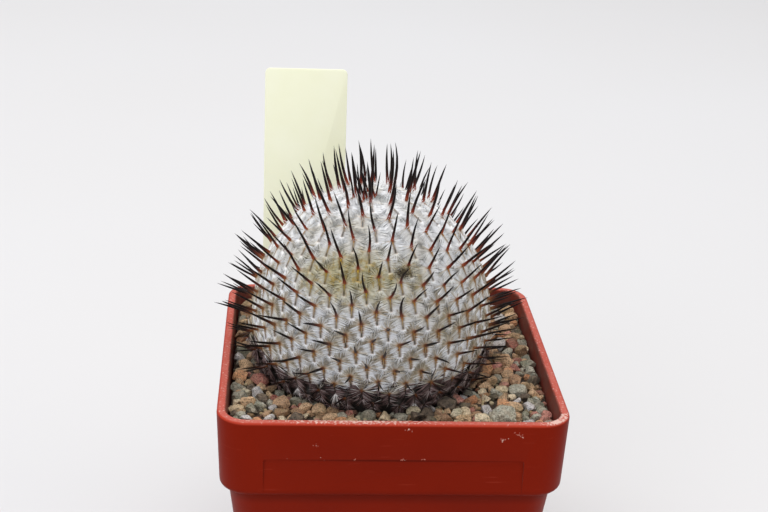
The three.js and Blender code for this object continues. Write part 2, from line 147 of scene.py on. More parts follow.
def turned(angle, axis):
    return Matrix.Rotation(angle, 4, axis)


def set_camera():
    data = bpy.data.cameras.new("camera")
    data.lens = CAMERA_LENS
    data.clip_start = 0.01
    camera = bpy.data.objects.new("camera", data)
    bpy.context.scene.collection.objects.link(camera)
    turn = turned(-CAMERA_YAW, "Z") @ turned(math.pi / 2 - CAMERA_PITCH, "X") @ turned(CAMERA_ROLL, "Z")
    camera.matrix_world = moved(CAMERA_PLACE) @ turn
    bpy.context.scene.camera = camera


def set_lights():
    for name, place, target, size, power, colour in SOFTBOXES:
        data = bpy.data.lights.new(name, "AREA")
        data.shape = "SQUARE"
        data.size = size
        data.energy = power
        data.color = linear(colour)[:3]
        light = bpy.data.objects.new(name, data)
        light.location = place
        light.rotation_euler = (Vector(target) - Vector(place)).to_track_quat("-Z", "Y").to_euler()
        bpy.context.scene.collection.objects.link(light)
    world = bpy.data.worlds.new("studio")
    world.use_nodes = True
    sky = world.node_tree.nodes["Background"]
    sky.inputs["Color"].default_value = linear(SKY_COLOUR)
    sky.inputs["Strength"].default_value = SKY_STRENGTH
    bpy.context.scene.world = world
    bpy.context.scene.view_settings.view_transform = "Standard"


# Small helpers for modelling

def begin():
    """Deselects everything, so that a new primitive is alone."""
    bpy.ops.object.select_all(action="DESELECT")


def only(piece):
    """Makes one piece the only selected and active one."""
    begin()
    piece.select_set(True)
    bpy.context.view_layer.objects.active = piece


def named(name):
    """Names the primitive just added and moves its place into its mesh."""
    piece = bpy.context.object
    piece.name = name
    piece.data.name = name
    bpy.ops.object.transform_apply(location=True, rotation=True, scale=True)
    return piece


def add_block(name, size, place=(0, 0, 0)):
    """A new block of a size at a place, both in mm."""
    begin()
    bpy.ops.mesh.primitive_cube_add(size=1, location=[value * MM for value in place])
    bpy.context.object.scale = [value * MM for value in size]
    return named(name)


def edit(piece):
    """Opens one piece in edit mode, all of it selected."""
    only(piece)
    bpy.ops.object.mode_set(mode="EDIT")
    bpy.ops.mesh.select_all(action="SELECT")


def done():
    bpy.ops.object.mode_set(mode="OBJECT")


def close_up():
    """Turns all faces outwards and leaves edit mode."""
    bpy.ops.mesh.select_all(action="SELECT")
    bpy.ops.mesh.normals_make_consistent(inside=False)
    done()


def middle(part):
    """The mean place, in mm, of an edge's or a face's corners."""
    return sum((corner.co for corner in part.verts), Vector()) / len(part.verts) / MM


def pick(piece, kind, test):
    """Selects, in edit mode, just the edges or faces that pass a test."""
    bpy.context.tool_settings.mesh_select_mode = (False, kind == "edges", kind == "faces")
    bpy.ops.mesh.select_all(action="DESELECT")
    mesh = bmesh.from_edit_mesh(piece.data)
    mesh.normal_update()
    for part in getattr(mesh, kind):
        if test(part):
            part.select_set(True)
    mesh.select_flush_mode()
    bmesh.update_edit_mesh(piece.data)


def resize(value, centre=(0, 0, 0)):
    """Scales the selection about a centre in metres."""
    bpy.ops.transform.resize(value=value, center_override=centre)


def draw_by(back, up):
    """Extrudes the selection by a step along Y and Z, in mm."""
    bpy.ops.mesh.extrude_region_move(TRANSFORM_OT_translate={"value": (0, back * MM, up * MM)})


def extrude(up, scale, level):
    """Extrudes the selection by a height, then scales it about the axis at a level, in mm."""
    draw_by(0, up)
    resize((scale, scale, 1), (0, 0, level * MM))


def bevel(radius, steps):
    """Rounds the selected edges by a radius in mm."""
    bpy.ops.mesh.bevel(offset=radius * MM, segments=steps, affect="EDGES")


def modify(piece, kind, **settings):
    """Gives a piece a modifier with its settings and applies it."""
    modifier = piece.modifiers.new(kind.lower(), kind)
    for name, value in settings.items():
        setattr(modifier, name, value)
    only(piece)
    bpy.ops.object.modifier_apply(modifier=modifier.name)


def cut(piece, cutter):
    """Takes one shape out of another, and the cutter away."""
    modify(piece, "BOOLEAN", operation="DIFFERENCE", solver="EXACT", object=cutter)
    bpy.data.objects.remove(cutter)


def join(pieces, name):
    begin()
    for piece in pieces:
        piece.select_set(True)
    bpy.context.view_layer.objects.active = pieces[0]
    bpy.ops.object.join()
    pieces[0].name = name
    pieces[0].data.name = name
    return pieces[0]


def tidy_surface(piece, angle):
    """Closes doubles, turns the faces outwards and shades them smooth below an angle."""
    edit(piece)
    bpy.ops.mesh.remove_doubles(threshold=NEAR * MM / 10)
    close_up()
    bpy.ops.object.shade_smooth_by_angle(angle=math.radians(angle))


def ring_at(level, outside):
    """A test for the edges of a level ring on the outer or the inner wall."""
    def test(edge):
        if any(abs(corner.co.z / MM - level) > NEAR for corner in edge.verts):
            return False
        out = middle(edge).to_2d()
        facing = [face.normal.to_2d().dot(out) / out.length for face in edge.link_faces if out.length > 1]
        return any((f > 0) == outside for f in facing if abs(f) > 0.5)
    return test


def draw_out(name, sides, rings, tip=None):
    """A rod drawn ring by ring out of a disc. A ring is its height, radius and sideways shift."""
    height, radius, shift = rings[0]
    begin()
    bpy.ops.mesh.primitive_circle_add(
        vertices=sides, radius=radius * MM, fill_type="NGON", location=(0, shift * MM, height * MM))
    rod = named(name)
    edit(rod)
    stops = [*rings, (tip[0], rings[-1][1], tip[1])] if tip else rings
    for (h0, r0, s0), (h1, r1, s1) in zip(stops, stops[1:]):
        draw_by(s1 - s0, h1 - h0)
        resize((r1 / r0, r1 / r0, 1), (0, s1 * MM, h1 * MM))
    if tip:
        bpy.ops.mesh.merge(type="CENTER")
    close_up()
    mark_along(rod, "z", 0, (tip or rings[-1])[0])
    return rod


def mark_along(piece, axis, start, end):
    """Stores how far along a shape each corner lies on an axis, from 0 at the start to 1 at the end."""
    along = piece.data.attributes.new("along", "FLOAT", "POINT")
    for corner, mark in zip(piece.data.vertices, along.data):
        mark.value = (getattr(corner.co, axis) / MM - start) / (end - start)


def repeat(name, places, spent=()):
    """Joins copies of modelled shapes in one smooth mesh and takes the spent shapes away. A place is a
    shape, a matrix and a tint."""
    corners = []
    faces = []
    along = []
    tints = []
    shapes = {}
    for shape, matrix, tint in places:
        if shape.name not in shapes:
            mesh = shape.data
            marks = mesh.attributes.get("along")
            shapes[shape.name] = (
                [corner.co.copy() for corner in mesh.vertices],
                [tuple(face.vertices) for face in mesh.polygons],
                [mark.value for mark in marks.data] if marks else [0.0] * len(mesh.vertices))
        points, outlines, marks = shapes[shape.name]
        first = len(corners)
        corners.extend(matrix @ point for point in points)
        faces.extend([first + i for i in outline] for outline in outlines)
        along.extend(marks)
        tints.extend([tint] * len(points))
    mesh = bpy.data.meshes.new(name)
    mesh.from_pydata(corners, [], faces)
    for mark, values in (("along", along), ("tint", tints)):
        mesh.attributes.new(mark, "FLOAT", "POINT").data.foreach_set("value", values)
    piece = bpy.data.objects.new(name, mesh)
    bpy.context.scene.collection.objects.link(piece)
    only(piece)
    bpy.ops.object.shade_smooth()
    for shape in spent:
        bpy.data.objects.remove(shape)
    return piece


def placing(place, along, upper, size):
    """A matrix that stands a shape's Z along one direction and its Y as near as can be to another."""
    z = along.normalized()
    x = upper.cross(z).normalized()
    y = z.cross(x)
    return moved(place) @ Matrix((x, y, z)).transposed().to_4x4() @ Matrix.Scale(size, 4)


def clamp(value, most=1.0):
    return max(0.0, min(most, value))


# Small helpers for materials

def per(size):
    """How often a pattern of a size in mm repeats in a metre."""
    return 1 / (size * MM)


def fill(socket, value):
    """Gives an input a link from another node, an sRGB hex colour or a plain value."""
    if isinstance(value, bpy.types.NodeSocket):
        socket.id_data.links.new(value, socket)
    else:
        socket.default_value = linear(value) if isinstance(value, str) else value


def node(tree, kind, *values, out=None, ramp=(), **more):
    """Adds a node and returns the output that is asked for, or else its first one in use.

    Values fill the node's inputs in turn, capital names fill the inputs so called, and small
    names are its settings. A ramp is a row of places and colours.
    """
    new = tree.nodes.new("ShaderNode" + kind)
    for name in filter(str.islower, more):
        setattr(new, name, more[name])
    if ramp:
        stops = new.color_ramp.elements
        while len(stops) < len(ramp):
            stops.new(1)
        for stop, (place, colour) in zip(stops, ramp):
            stop.position = place
            stop.color = linear(colour)
    for socket, value in zip([socket for socket in new.inputs if socket.enabled], values):
        fill(socket, value)
    for name, value in more.items():
        if not name.islower():
            fill(new.inputs[name.replace("_", " ")], value)
    return new.outputs[out] if out else next(socket for socket in new.outputs if socket.enabled)


def new_material(name):
    """A new material and the function that adds a node to it."""
    material = bpy.data.materials.new(name)
    material.use_nodes = True
    return material, partial(node, material.node_tree)


def shade(material, **inputs):
    """Fills the inputs of the material's shader, whose names are written with underscores."""
    shader = material.node_tree.nodes["Principled BSDF"]
    for name, value in inputs.items():
        fill(shader.inputs[name.replace("_", " ")], value)
    return material


def near_place(add, place, centre, reach):
    """How far a place lies from a centre, as a share of a reach along each axis, both in mm."""
    away = add("VectorMath", place, Vector(centre) * MM, operation="SUBTRACT")
    scaled = add("VectorMath", away, [per(size) for size in reach], operation="MULTIPLY")
    return add("VectorMath", scaled, operation="LENGTH")


def patched(add, place, colour, other, size, start, end, most, **settings):
    """Lays patches of another colour, of a size in mm, where a noise passes from start to end. The
    share most is the most that they cover it."""
    noisy = add("TexNoise", place, Scale=per(size), **settings)
    share = add("MapRange", noisy, From_Min=start, From_Max=end, To_Max=most)
    return add("Mix", share, colour, other, data_type="RGBA")


def finish_piece(piece, material, replaced=None):
    """Gives a piece its material and its body, and hides the CAD node it stands for."""
    piece.data.materials.clear()
    piece.data.materials.append(material)
    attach(piece, "root")
    if replaced:
        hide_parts(replaced)


# The pot

def body_half(level):
    """Half the width of the body at a level."""
    return BASE_HALF + (BODY_TOP_HALF - BASE_HALF) * level / COLLAR_FOOT


def collar_half(level):
    """Half the width of the collar at a level."""
    share = (level - COLLAR_FOOT) / (RIM_TOP - COLLAR_FOOT)
    return COLLAR_FOOT_HALF + (RIM_HALF - COLLAR_FOOT_HALF) * share


def under_collar(edge):
    """A test for the edges round the collar's foot."""
    level = all(abs(corner.co.z / MM - COLLAR_FOOT) < NEAR for corner in edge.verts)
    return level and any(middle(face).z > COLLAR_FOOT + 1 for face in edge.link_faces)


def model_pot():
    """The pot, drawn up from its base: sloping walls, the collar, the rim and the hollow inside."""
    shelf = COLLAR_FOOT - BODY_WALL
    inner_rim = RIM_HALF - RIM_WALL
    inner_collar = collar_half(shelf + RIM_WALL) - RIM_WALL
    inner_body = body_half(shelf) - BODY_WALL
    inner_floor = body_half(POT_FLOOR) - BODY_WALL
    pot = add_block("square_pot", (2 * BASE_HALF, 2 * BASE_HALF, COLLAR_FOOT), (0, 0, COLLAR_FOOT / 2))
    edit(pot)
    pick(pot, "edges", lambda edge: abs(edge.verts[0].co.z - edge.verts[1].co.z) > NEAR * MM)
    bevel(BASE_CORNER_RADIUS, 8)
    pick(pot, "faces", lambda face: face.normal.z > LEVEL and abs(middle(face).z - COLLAR_FOOT) < NEAR)
    resize((BODY_TOP_HALF / BASE_HALF, BODY_TOP_HALF / BASE_HALF, 1))
    extrude(0, COLLAR_FOOT_HALF / BODY_TOP_HALF, COLLAR_FOOT)
    extrude(RIM_TOP - COLLAR_FOOT, RIM_HALF / COLLAR_FOOT_HALF, RIM_TOP)
    bpy.ops.mesh.inset(thickness=RIM_WALL * MM)
    extrude(shelf + RIM_WALL - RIM_TOP, inner_collar / inner_rim, shelf + RIM_WALL)
    extrude(-RIM_WALL, inner_body / inner_collar, shelf)
    extrude(POT_FLOOR - shelf, inner_floor / inner_body, POT_FLOOR)
    for level, outside, radius, steps in ROUNDED_RINGS:
        pick(pot, "edges", ring_at(level, outside))
        bevel(radius, steps)
    pick(pot, "edges", under_collar)
    bevel(COLLAR_ROUND, 5)
    done()
    for model_cutter in (model_panels, model_drains, model_grooves):
        cut(pot, model_cutter())
    modify(pot, "BEVEL", width=FINE_ROUND * MM, segments=2, limit_method="ANGLE", angle_limit=SHARP_ANGLE)
    tidy_surface(pot, 40)
    return pot


def around_pot(shape, name):
    """Copies a shape to the four sides of the pot, each with its own mesh."""
    copies = [shape]
    for quarter in range(1, 4):
        copy = shape.copy()
        copy.data = shape.data.copy()
        copy.data.transform(turned(quarter * math.pi / 2, "Z"))
        bpy.context.scene.collection.objects.link(copy)
        copies.append(copy)
    return join(copies, name)


def model_panels():
    """The shallow panel pressed in the lower half of each collar side."""
    slope = math.atan2(RIM_HALF - COLLAR_FOOT_HALF, RIM_TOP - COLLAR_FOOT)
    height = PANEL_TOP - COLLAR_FOOT + 2
    block = add_block("panel_block", (PANEL_WIDTH, 2, height))
    block.data.transform(moved((0, -1, -height / 2)))
    block.data.transform(turned(-slope, "X"))
    block.data.transform(moved((0, PANEL_DEPTH - collar_half(PANEL_TOP), PANEL_TOP)))
    edit(block)
    pick(block, "edges", lambda edge: middle(edge).z > PANEL_TOP - 1 and abs(middle(edge).x) > 1)
    bevel(PANEL_ROUND, 3)
    done()
    return around_pot(block, "panel_cutter")


def model_drains():
    """The four round drain holes."""
    begin()
    bpy.ops.mesh.primitive_cylinder_add(
        vertices=32, radius=HOLE_RADIUS * MM, depth=HOLE_DRILL * MM,
        location=(HOLE_OFFSET * MM, HOLE_OFFSET * MM, 0))
    return around_pot(named("drain"), "drain_cutter")


def model_grooves():
    """The channels under the base that lead from the drain holes to the corners."""
    start = HOLE_OFFSET * math.sqrt(2) + HOLE_RADIUS / 2
    length = 2 * BASE_HALF
    groove = add_block("groove", (length, GROOVE_WIDTH, 2 * GROOVE_DEPTH), (start + length / 2, 0, 0))
    groove.data.transform(turned(math.pi / 4, "Z"))
    return around_pot(groove, "groove_cutter")


# Painted shade with some grime in the seams, as centre, reach and share,
# and lime on the rim, as centre and reach, in mm

SEAM_SHADE_AND_GRIME = (
    ((0, 0, PANEL_TOP - 0.2), (22.8, 100, 0.45), 0.75), ((0, 0, PANEL_TOP - 0.2), (100, 22.8, 0.45), 0.75),
    ((0, 0, COLLAR_FOOT - 0.5), (200, 200, 1.9), 0.45),
)
CRUSTED_PLACES = (((-6.0, -28.5, 55.0), (11.0, 1.3, 2.0)), ((28.0, -28.0, 55.0), (3.2, 3.2, 3.0)))


def seam_shade_and_grime(add, place):
    """Painted shade and some grime in the corners: under each panel's upper edge and under the collar."""
    share = 0.0
    for centre, reach, most in SEAM_SHADE_AND_GRIME:
        near = add("MapRange", near_place(add, place, centre, reach), From_Min=1, From_Max=0.35, To_Max=most)
        share = add("Math", near, share, operation="MAXIMUM")
    return share


def dust_film(add, place, facing):
    """How much dust lies on a place: fine and uneven on what faces up, none on the walls."""
    grain = add("TexNoise", place, Scale=per(0.5), Detail=4)
    patches = add("TexNoise", place, Scale=per(7), Detail=2)
    uneven = add("Math", grain, patches, operation="MULTIPLY")
    film = add("MapRange", uneven, From_Min=0.1, From_Max=0.4, To_Min=0.25, To_Max=0.7)
    level = add("MapRange", facing, From_Min=0.8, From_Max=0.98)
    return add("Math", film, level, operation="MULTIPLY")


def lime_crust(add, place, facing):
    """Where lime has crusted on the rim: along its inner edge at the front, at a corner and in crumbs."""
    grain = add("TexNoise", place, Scale=per(0.45), Detail=4)
    far = [near_place(add, place, centre, reach) for centre, reach in CRUSTED_PLACES]
    near = [add("MapRange", share, From_Min=1.4, From_Max=0.5) for share in far]
    crusted = add("Math", *near, operation="MAXIMUM")
    raised = add("Math", crusted, 0.2, operation="MULTIPLY")
    grown = add("Math", grain, raised, operation="ADD")
    crumbs = add("MapRange", grown, From_Min=0.58, From_Max=0.75, To_Max=0.8)
    level = add("MapRange", facing, From_Min=0.6, From_Max=0.9)
    return add("Math", crumbs, level, operation="MULTIPLY")


def soiled_inside(add, place, normal):
    """How much soil is smeared on a place: much and unevenly where it faces the pot's axis."""
    level = add("VectorMath", place, (1, 1, 0), operation="MULTIPLY")
    inwards = add("VectorMath", level, normal, operation="DOT_PRODUCT")
    inner = add("MapRange", inwards, From_Min=-5 * MM, From_Max=-15 * MM)
    soil = add("TexNoise", place, Scale=per(2.5), Detail=5)
    smeared = add("MapRange", soil, From_Min=0.3, From_Max=0.6, To_Min=0.35, To_Max=0.9)
    return add("Math", inner, smeared, operation="MULTIPLY")


def polypropylene():
    """Moulded red polypropylene: satin, with a painted highlight on its upward faces and scratched on the
    walls, under dust and lime on the rim, painted shade with some grime in the seams and soil inside."""
    material, add = new_material("moulded_red_polypropylene")
    place = add("TexCoord", out="Object")
    normal = add("NewGeometry", out="Normal")
    facing = add("SeparateXYZ", normal, out="Z")
    flow = add("TexNoise", place, Scale=per(18), Detail=3)
    red = add("ValToRGB", flow, ramp=[(0.3, "#741603"), (0.7, "#7C1904")])
    # Painted highlight: faces that turn upwards are painted a lighter red, for the light that they catch.
    edge = add("MapRange", facing, From_Min=0.15, From_Max=0.6)
    top_lit_red = add("Mix", edge, red, "#AC3A28", data_type="RGBA")
    streaks = add("Mapping", place, Rotation=(0, 0.5, 0.3), Scale=(1, 1, 14))
    scratched = patched(add, streaks, top_lit_red, "#A8402E", 6, 0.66, 0.74, 0.25, Detail=6)
    # Painted shade, with some grime at the panels: dark red under each panel's upper edge and all round under
    # the collar.
    shaded_and_grimy = add("Mix", seam_shade_and_grime(add, place), scratched, "#4A0C02", data_type="RGBA")
    dust = dust_film(add, place, facing)
    dusty = add("Mix", dust, shaded_and_grimy, "#C4766A", data_type="RGBA")
    soiled = add("Mix", soiled_inside(add, place, normal), dusty, "#6E443B", data_type="RGBA")
    limed = add("Mix", lime_crust(add, place, facing), soiled, "#DDBFB2", data_type="RGBA")
    rough = add("MapRange", dust, To_Min=0.42, To_Max=0.85)
    skin = add("TexNoise", place, Scale=per(0.35), Detail=2)
    bump = add("Bump", Height=skin, Strength=0.25, Distance=0.03 * MM)
    return shade(material, Base_Color=limed, Roughness=rough, Normal=bump, IOR=1.49, Specular_IOR_Level=0.05)


# Lime specks that dried on the front of the collar: across, height and width, in mm

LIME_SPECKS = (
    (-17.9, 47.9, 0.28), (-11.9, 47.8, 0.32), (-6.2, 48.0, 0.34), (-1.6, 47.9, 0.26), (1.4, 48.2, 0.28),
    (3.3, 47.6, 0.24), (4.9, 47.9, 0.3), (18.3, 52.4, 0.36), (20.8, 53.3, 0.4), (20.3, 42.6, 0.34),
    (20.4, 42.2, 0.3), (2.0, 54.0, 0.3), (1.9, 42.9, 0.24), (-13.2, 50.9, 0.18), (9.6, 45.1, 0.16),
)
STREWN_SPECKS = 14               # on each of the other sides
STREWN_REACH = 22                # to both sides of the middle
STREWN_LEVELS = (43, 54)
STREWN_WIDTHS = (0.15, 0.4)
CRUMBS_PER_SPECK = 9
CRUMB_SPREAD = 0.7               # up and down, as a share of that across
CRUMB_WIDTHS = (0.3, 0.8)        # as shares of the speck's width
CRUMB_LENGTHS = (1.2, 2.2)       # as shares of the crumb's width
CRUMB_FLATNESS = 0.22


def model_specks():
    """Flat crumbs of lime: the listed ones on the front and a few strewn over the other sides."""
    begin()
    bpy.ops.mesh.primitive_ico_sphere_add(subdivisions=2, radius=0.5 * MM)
    crumb = named("lime_crumb")
    edit(crumb)
    resize((1, CRUMB_FLATNESS, 1))
    bpy.ops.transform.vertex_random(offset=0.05 * MM, uniform=0.1, normal=0, seed=3)
    done()
    draw = random.Random(11)
    spots = [(0, *speck) for speck in LIME_SPECKS]
    for side in (1, 2, 3):
        for _ in range(STREWN_SPECKS):
            across = draw.uniform(-STREWN_REACH, STREWN_REACH)
            spots.append((side, across, draw.uniform(*STREWN_LEVELS), draw.uniform(*STREWN_WIDTHS)))
    crumbs = [
        (side, x + draw.gauss(0, width), z + draw.gauss(0, width * CRUMB_SPREAD),
         width * draw.uniform(*CRUMB_WIDTHS))
        for side, x, z, width in spots
        for _ in range(CRUMBS_PER_SPECK)]
    places = []
    for side, x, z, width in crumbs:
        panel = PANEL_DEPTH if z < PANEL_TOP and abs(x) < PANEL_WIDTH / 2 else 0
        spot = moved((x, panel - collar_half(z), z))
        long = draw.uniform(*CRUMB_LENGTHS)
        shape = turned(draw.uniform(0, 3.14), "Y") @ Matrix.Diagonal((width * long, width, width, 1))
        places.append((crumb, turned(side * math.pi / 2, "Z") @ spot @ shape, draw.random()))
    return repeat("lime_specks", places, [crumb])


def dried_lime():
    """Dried lime scale: chalky, stained by the red pot where it is thin, and fully matt."""
    material, add = new_material("dried_lime")
    tint = add("Attribute", out="Fac", attribute_name="tint")
    chalk = add("ValToRGB", tint, ramp=[(0, "#943F30"), (0.6, "#A86252"), (1, "#D2B2A2")])
    return shade(material, Base_Color=chalk, Roughness=0.9, IOR=1.5)


# The soil and its gravel

def foot_radius(level, sink):
    """The stem's radius at a level, less a sink."""
    upwards = (level - STEM_CENTRE.z) / (STEM_UPWARDS - sink)
    return (STEM_ACROSS - sink) * math.sqrt(1 - upwards * upwards)


def stem_foot_rings(grown):
    """The plant's foot in the soil as rings, grown all round by a margin."""
    rings = [(FOOT_BOTTOM - grown, foot_radius(FOOT_LEVELS[0], FOOT_SINK) * FOOT_NARROWING + grown, 0)]
    for level in FOOT_LEVELS:
        rings.append((level, foot_radius(level, FOOT_SINK) + grown, 0))
    return rings


def inside_walls(x, y, half, corner):
    """How far a place lies inside a square with round corners, negative when outside."""
    past_x = max(abs(x) - half + corner, 0)
    past_y = max(abs(y) - half + corner, 0)
    return corner - math.hypot(past_x, past_y) if past_x or past_y else min(half - abs(x), half - abs(y))


def rounded_into(x, y, half, corner):
    """Moves a place of the full square into the square with round corners."""
    flat = half - corner
    past = Vector((max(abs(x) - flat, 0), max(abs(y) - flat, 0)))
    if not (past.x and past.y):
        return x, y
    past *= max(past) / past.length
    return math.copysign(flat + past.x, x), math.copysign(flat + past.y, y)


def bed_level(x, y):
    """The uneven level of the fine soil."""
    level = SOIL_TOP
    for length, height, layer in BED_WAVES:
        level += height * noise.noise(Vector((x, y, layer)) / length)
    return level


def model_bed():
    """The bed of fine soil: an uneven sheet drawn down inside the walls, with holes for plant and label."""
    half = collar_half(SOIL_TOP) - RIM_WALL - GAP
    corner = CORNER_RADIUS - RIM_WALL - GAP
    shelf = COLLAR_FOOT - BODY_WALL
    shelf_half = body_half(shelf) - BODY_WALL - GAP
    floor_half = body_half(POT_FLOOR) - BODY_WALL - GAP
    begin()
    bpy.ops.mesh.primitive_grid_add(
        x_subdivisions=BED_CELLS, y_subdivisions=BED_CELLS, size=2 * half * MM,
        location=(0, 0, SOIL_TOP * MM))
    bed = named("soil_bed")
    for place in bed.data.vertices:
        x, y = rounded_into(place.co.x / MM, place.co.y / MM, half, corner)
        place.co = Vector((x, y, bed_level(x, y))) * MM
    edit(bed)
    extrude(shelf - SOIL_TOP, 1, shelf)
    resize((1, 1, 0), (0, 0, shelf * MM))
    resize((shelf_half / half, shelf_half / half, 1))
    extrude(POT_FLOOR + GAP - shelf, floor_half / shelf_half, POT_FLOOR + GAP)
    bpy.ops.mesh.dissolve_limited(angle_limit=math.radians(1))
    done()
    cut(bed, draw_out("foot_hole", 48, stem_foot_rings(GAP)))
    cut(bed, model_label_blank("label_slot", GAP))
    tidy_surface(bed, 60)
    return bed


# The shapes of the stones, for a radius of 1 mm

BALL_RADIUS = 1.08               # of the ball that a stone is broken from
WORN_EDGE = 0.04                 # shorter edges are worn away
ROUGH_CELL = 0.09                # of the fine mesh of a rough stone


def model_stone(name, seed, detail, cuts, keep):
    """A broken stone of 1 mm radius: a ball with chips struck off it, closed and with worn edges."""
    draw = random.Random(seed)
    begin()
    bpy.ops.mesh.primitive_ico_sphere_add(subdivisions=detail, radius=BALL_RADIUS * MM)
    stone = named(name)
    edit(stone)
    for _ in range(cuts):
        out = Vector((draw.gauss(0, 1), draw.gauss(0, 1), draw.gauss(0, 1))).normalized()
        bpy.ops.mesh.select_all(action="SELECT")
        bpy.ops.mesh.bisect(
            plane_co=out * draw.uniform(*keep) * MM, plane_no=out, clear_outer=True, use_fill=True)
    bpy.ops.mesh.select_all(action="SELECT")
    bpy.ops.mesh.quads_convert_to_tris()
    bpy.ops.mesh.remove_doubles(threshold=WORN_EDGE * MM)
    close_up()
    return stone


def model_rough_stone(name, seed):
    """A larger stone for the front, its chipped faces pitted and worn."""
    stone = model_stone(name, seed, detail=3, cuts=12, keep=(0.5, 0.85))
    modify(stone, "REMESH", mode="VOXEL", voxel_size=ROUGH_CELL * MM)
    for place in stone.data.vertices:
        where = place.co / MM
        pits = noise.noise(where * 2.3 + Vector((seed, 0, 0))) * 0.12 + noise.noise(where * 5.5) * 0.1
        place.co += place.co.normalized() * pits * MM
    return stone


# The stones that lie in plain sight along the front: across, back, width and kind, in mm

FRONT_STONES = (
    (-26.2, -21.3, 2.8, "grey_green"), (-24.9, -22.6, 2.5, "pale_grey"), (-23.0, -20.9, 2.6, "grey_green"),
    (-21.2, -21.8, 2.3, "pale_grey"), (-23.6, -25.0, 4.0, "tan"), (-21.0, -25.4, 2.9, "cream"),
    (-19.1, -24.3, 2.0, "ochre"), (-18.0, -26.0, 1.6, "cream"), (-16.2, -23.2, 3.8, "dark"),
    (-13.4, -24.6, 3.4, "red"), (-14.2, -21.8, 2.0, "ochre"), (-11.4, -25.4, 1.9, "tan"),
    (-9.8, -24.6, 2.1, "cream"), (-8.5, -25.2, 1.6, "dark"), (-7.1, -24.1, 2.7, "tan"),
    (-5.6, -22.6, 2.5, "ochre"), (-3.2, -23.2, 3.3, "tan"), (-4.9, -25.7, 1.7, "cream"),
    (-0.1, -24.6, 2.6, "tan"), (2.1, -25.2, 1.9, "cream"), (4.4, -24.8, 2.5, "red"),
    (6.2, -22.9, 2.7, "dark"), (8.4, -24.9, 2.5, "tan"), (10.3, -23.4, 2.8, "red"),
    (12.5, -21.6, 3.4, "tan"), (12.6, -25.3, 1.6, "cream"), (15.4, -23.4, 4.2, "cream"),
    (17.2, -15.6, 2.3, "dark"), (19.6, -16.2, 2.9, "ochre"), (19.4, -22.4, 5.4, "grey_green"),
    (20.9, -24.1, 3.4, "grey_green"), (21.6, -20.4, 3.0, "tan"), (23.6, -25.0, 2.8, "pale_grey"),
    (25.6, -23.6, 2.2, "red"), (24.4, -17.2, 2.7, "pale_grey"), (25.2, -20.7, 1.8, "grey_green"),
    (-25.0, -17.0, 2.6, "tan"), (-22.5, -17.6, 2.8, "grey_green"),
)
STONE_SHARES = {                 # of each kind among the strewn stones
    "tan": 0.34, "ochre": 0.09, "grey_green": 0.19, "cream": 0.10, "pale_grey": 0.08, "red": 0.12,
    "dark": 0.08,
}
STONE_SIZES = (1.6, 0.6)         # radius of the first and of the last of the strewn stones, mm
STONE_COUNT = 500
STONE_TRIES = 26000
STONE_CROWDING = 0.74            # least spacing of two stones as a share of their radii
STREWN_FLATNESS = (0.65, 0.95)   # height of a strewn stone as a share of its radius
LISTED_FLATNESS = (0.8, 1.0)     # and of a listed one
STONE_RISE = (0.2, 0.55)         # of a stone's middle over the bed as a share of its height
STONE_TILT = 0.4                 # to either side, in radians
STONE_LENGTH = (0.95, 1.2)       # as a share of its radius
STONE_WIDTH = (0.85, 1.0)
COMMON_SHAPES = 9                # how many strewn stones are modelled, and then copied
ROUGH_SHAPES = 6                 # how many listed ones
GRAIN_SHAPES = 4                 # and how many grains of grit
GRIT_COUNT = 1500
GRIT_SIZES = (0.22, 0.5)


def place_is_free(x, y, radius):
    """True where a stone lies inside the walls and beside the plant and the label."""
    half = collar_half(SOIL_TOP) - RIM_WALL - 0.1
    beside_plant = math.hypot(x - STEM_CENTRE.x, y - STEM_CENTRE.y) > foot_radius(SOIL_COLLAR, 1.0) + radius
    at_label = abs(x - LABEL_X) < LABEL_HALF + radius and y > half - 2.0 - radius
    return inside_walls(x, y, half, CORNER_RADIUS - RIM_WALL) > radius and beside_plant and not at_label


def strew_stones(draw):
    """The listed stones and then the strewn ones, the large first, as across, back, radius and kind."""
    stones = [(x, y, width / 2, kind) for x, y, width, kind in FRONT_STONES]
    kinds, shares = zip(*STONE_SHARES.items())
    first, last = STONE_SIZES
    half = collar_half(SOIL_TOP) - RIM_WALL
    for _ in range(STONE_TRIES):
        if len(stones) >= STONE_COUNT:
            break
        radius = (first + (last - first) * (len(stones) / STONE_COUNT)) * draw.uniform(0.85, 1.2)
        x = draw.uniform(-half, half)
        y = draw.uniform(-half, half)
        if not place_is_free(x, y, radius * 0.95):
            continue
        if all(math.hypot(x - sx, y - sy) >= (radius + size) * STONE_CROWDING for sx, sy, size, _ in stones):
            stones.append((x, y, radius, draw.choices(kinds, shares)[0]))
    return stones


def stone_matrix(x, y, radius, draw, flatness):
    """Lays a stone of 1 mm radius on the bed, sunk by a part of its height."""
    height = radius * draw.uniform(*flatness)
    level = bed_level(x, y) + height * draw.uniform(*STONE_RISE)
    turn = turned(draw.uniform(0, 2 * math.pi), "Z") @ turned(draw.uniform(-STONE_TILT, STONE_TILT), "X")
    length = radius * draw.uniform(*STONE_LENGTH)
    width = radius * draw.uniform(*STONE_WIDTH)
    size = Matrix.Diagonal((length, width, height, 1))
    inner = turned(draw.uniform(0, 2 * math.pi), "Z") @ turned(draw.uniform(0, 3.1), "X")
    return moved((x, y, level)) @ turn @ size @ inner


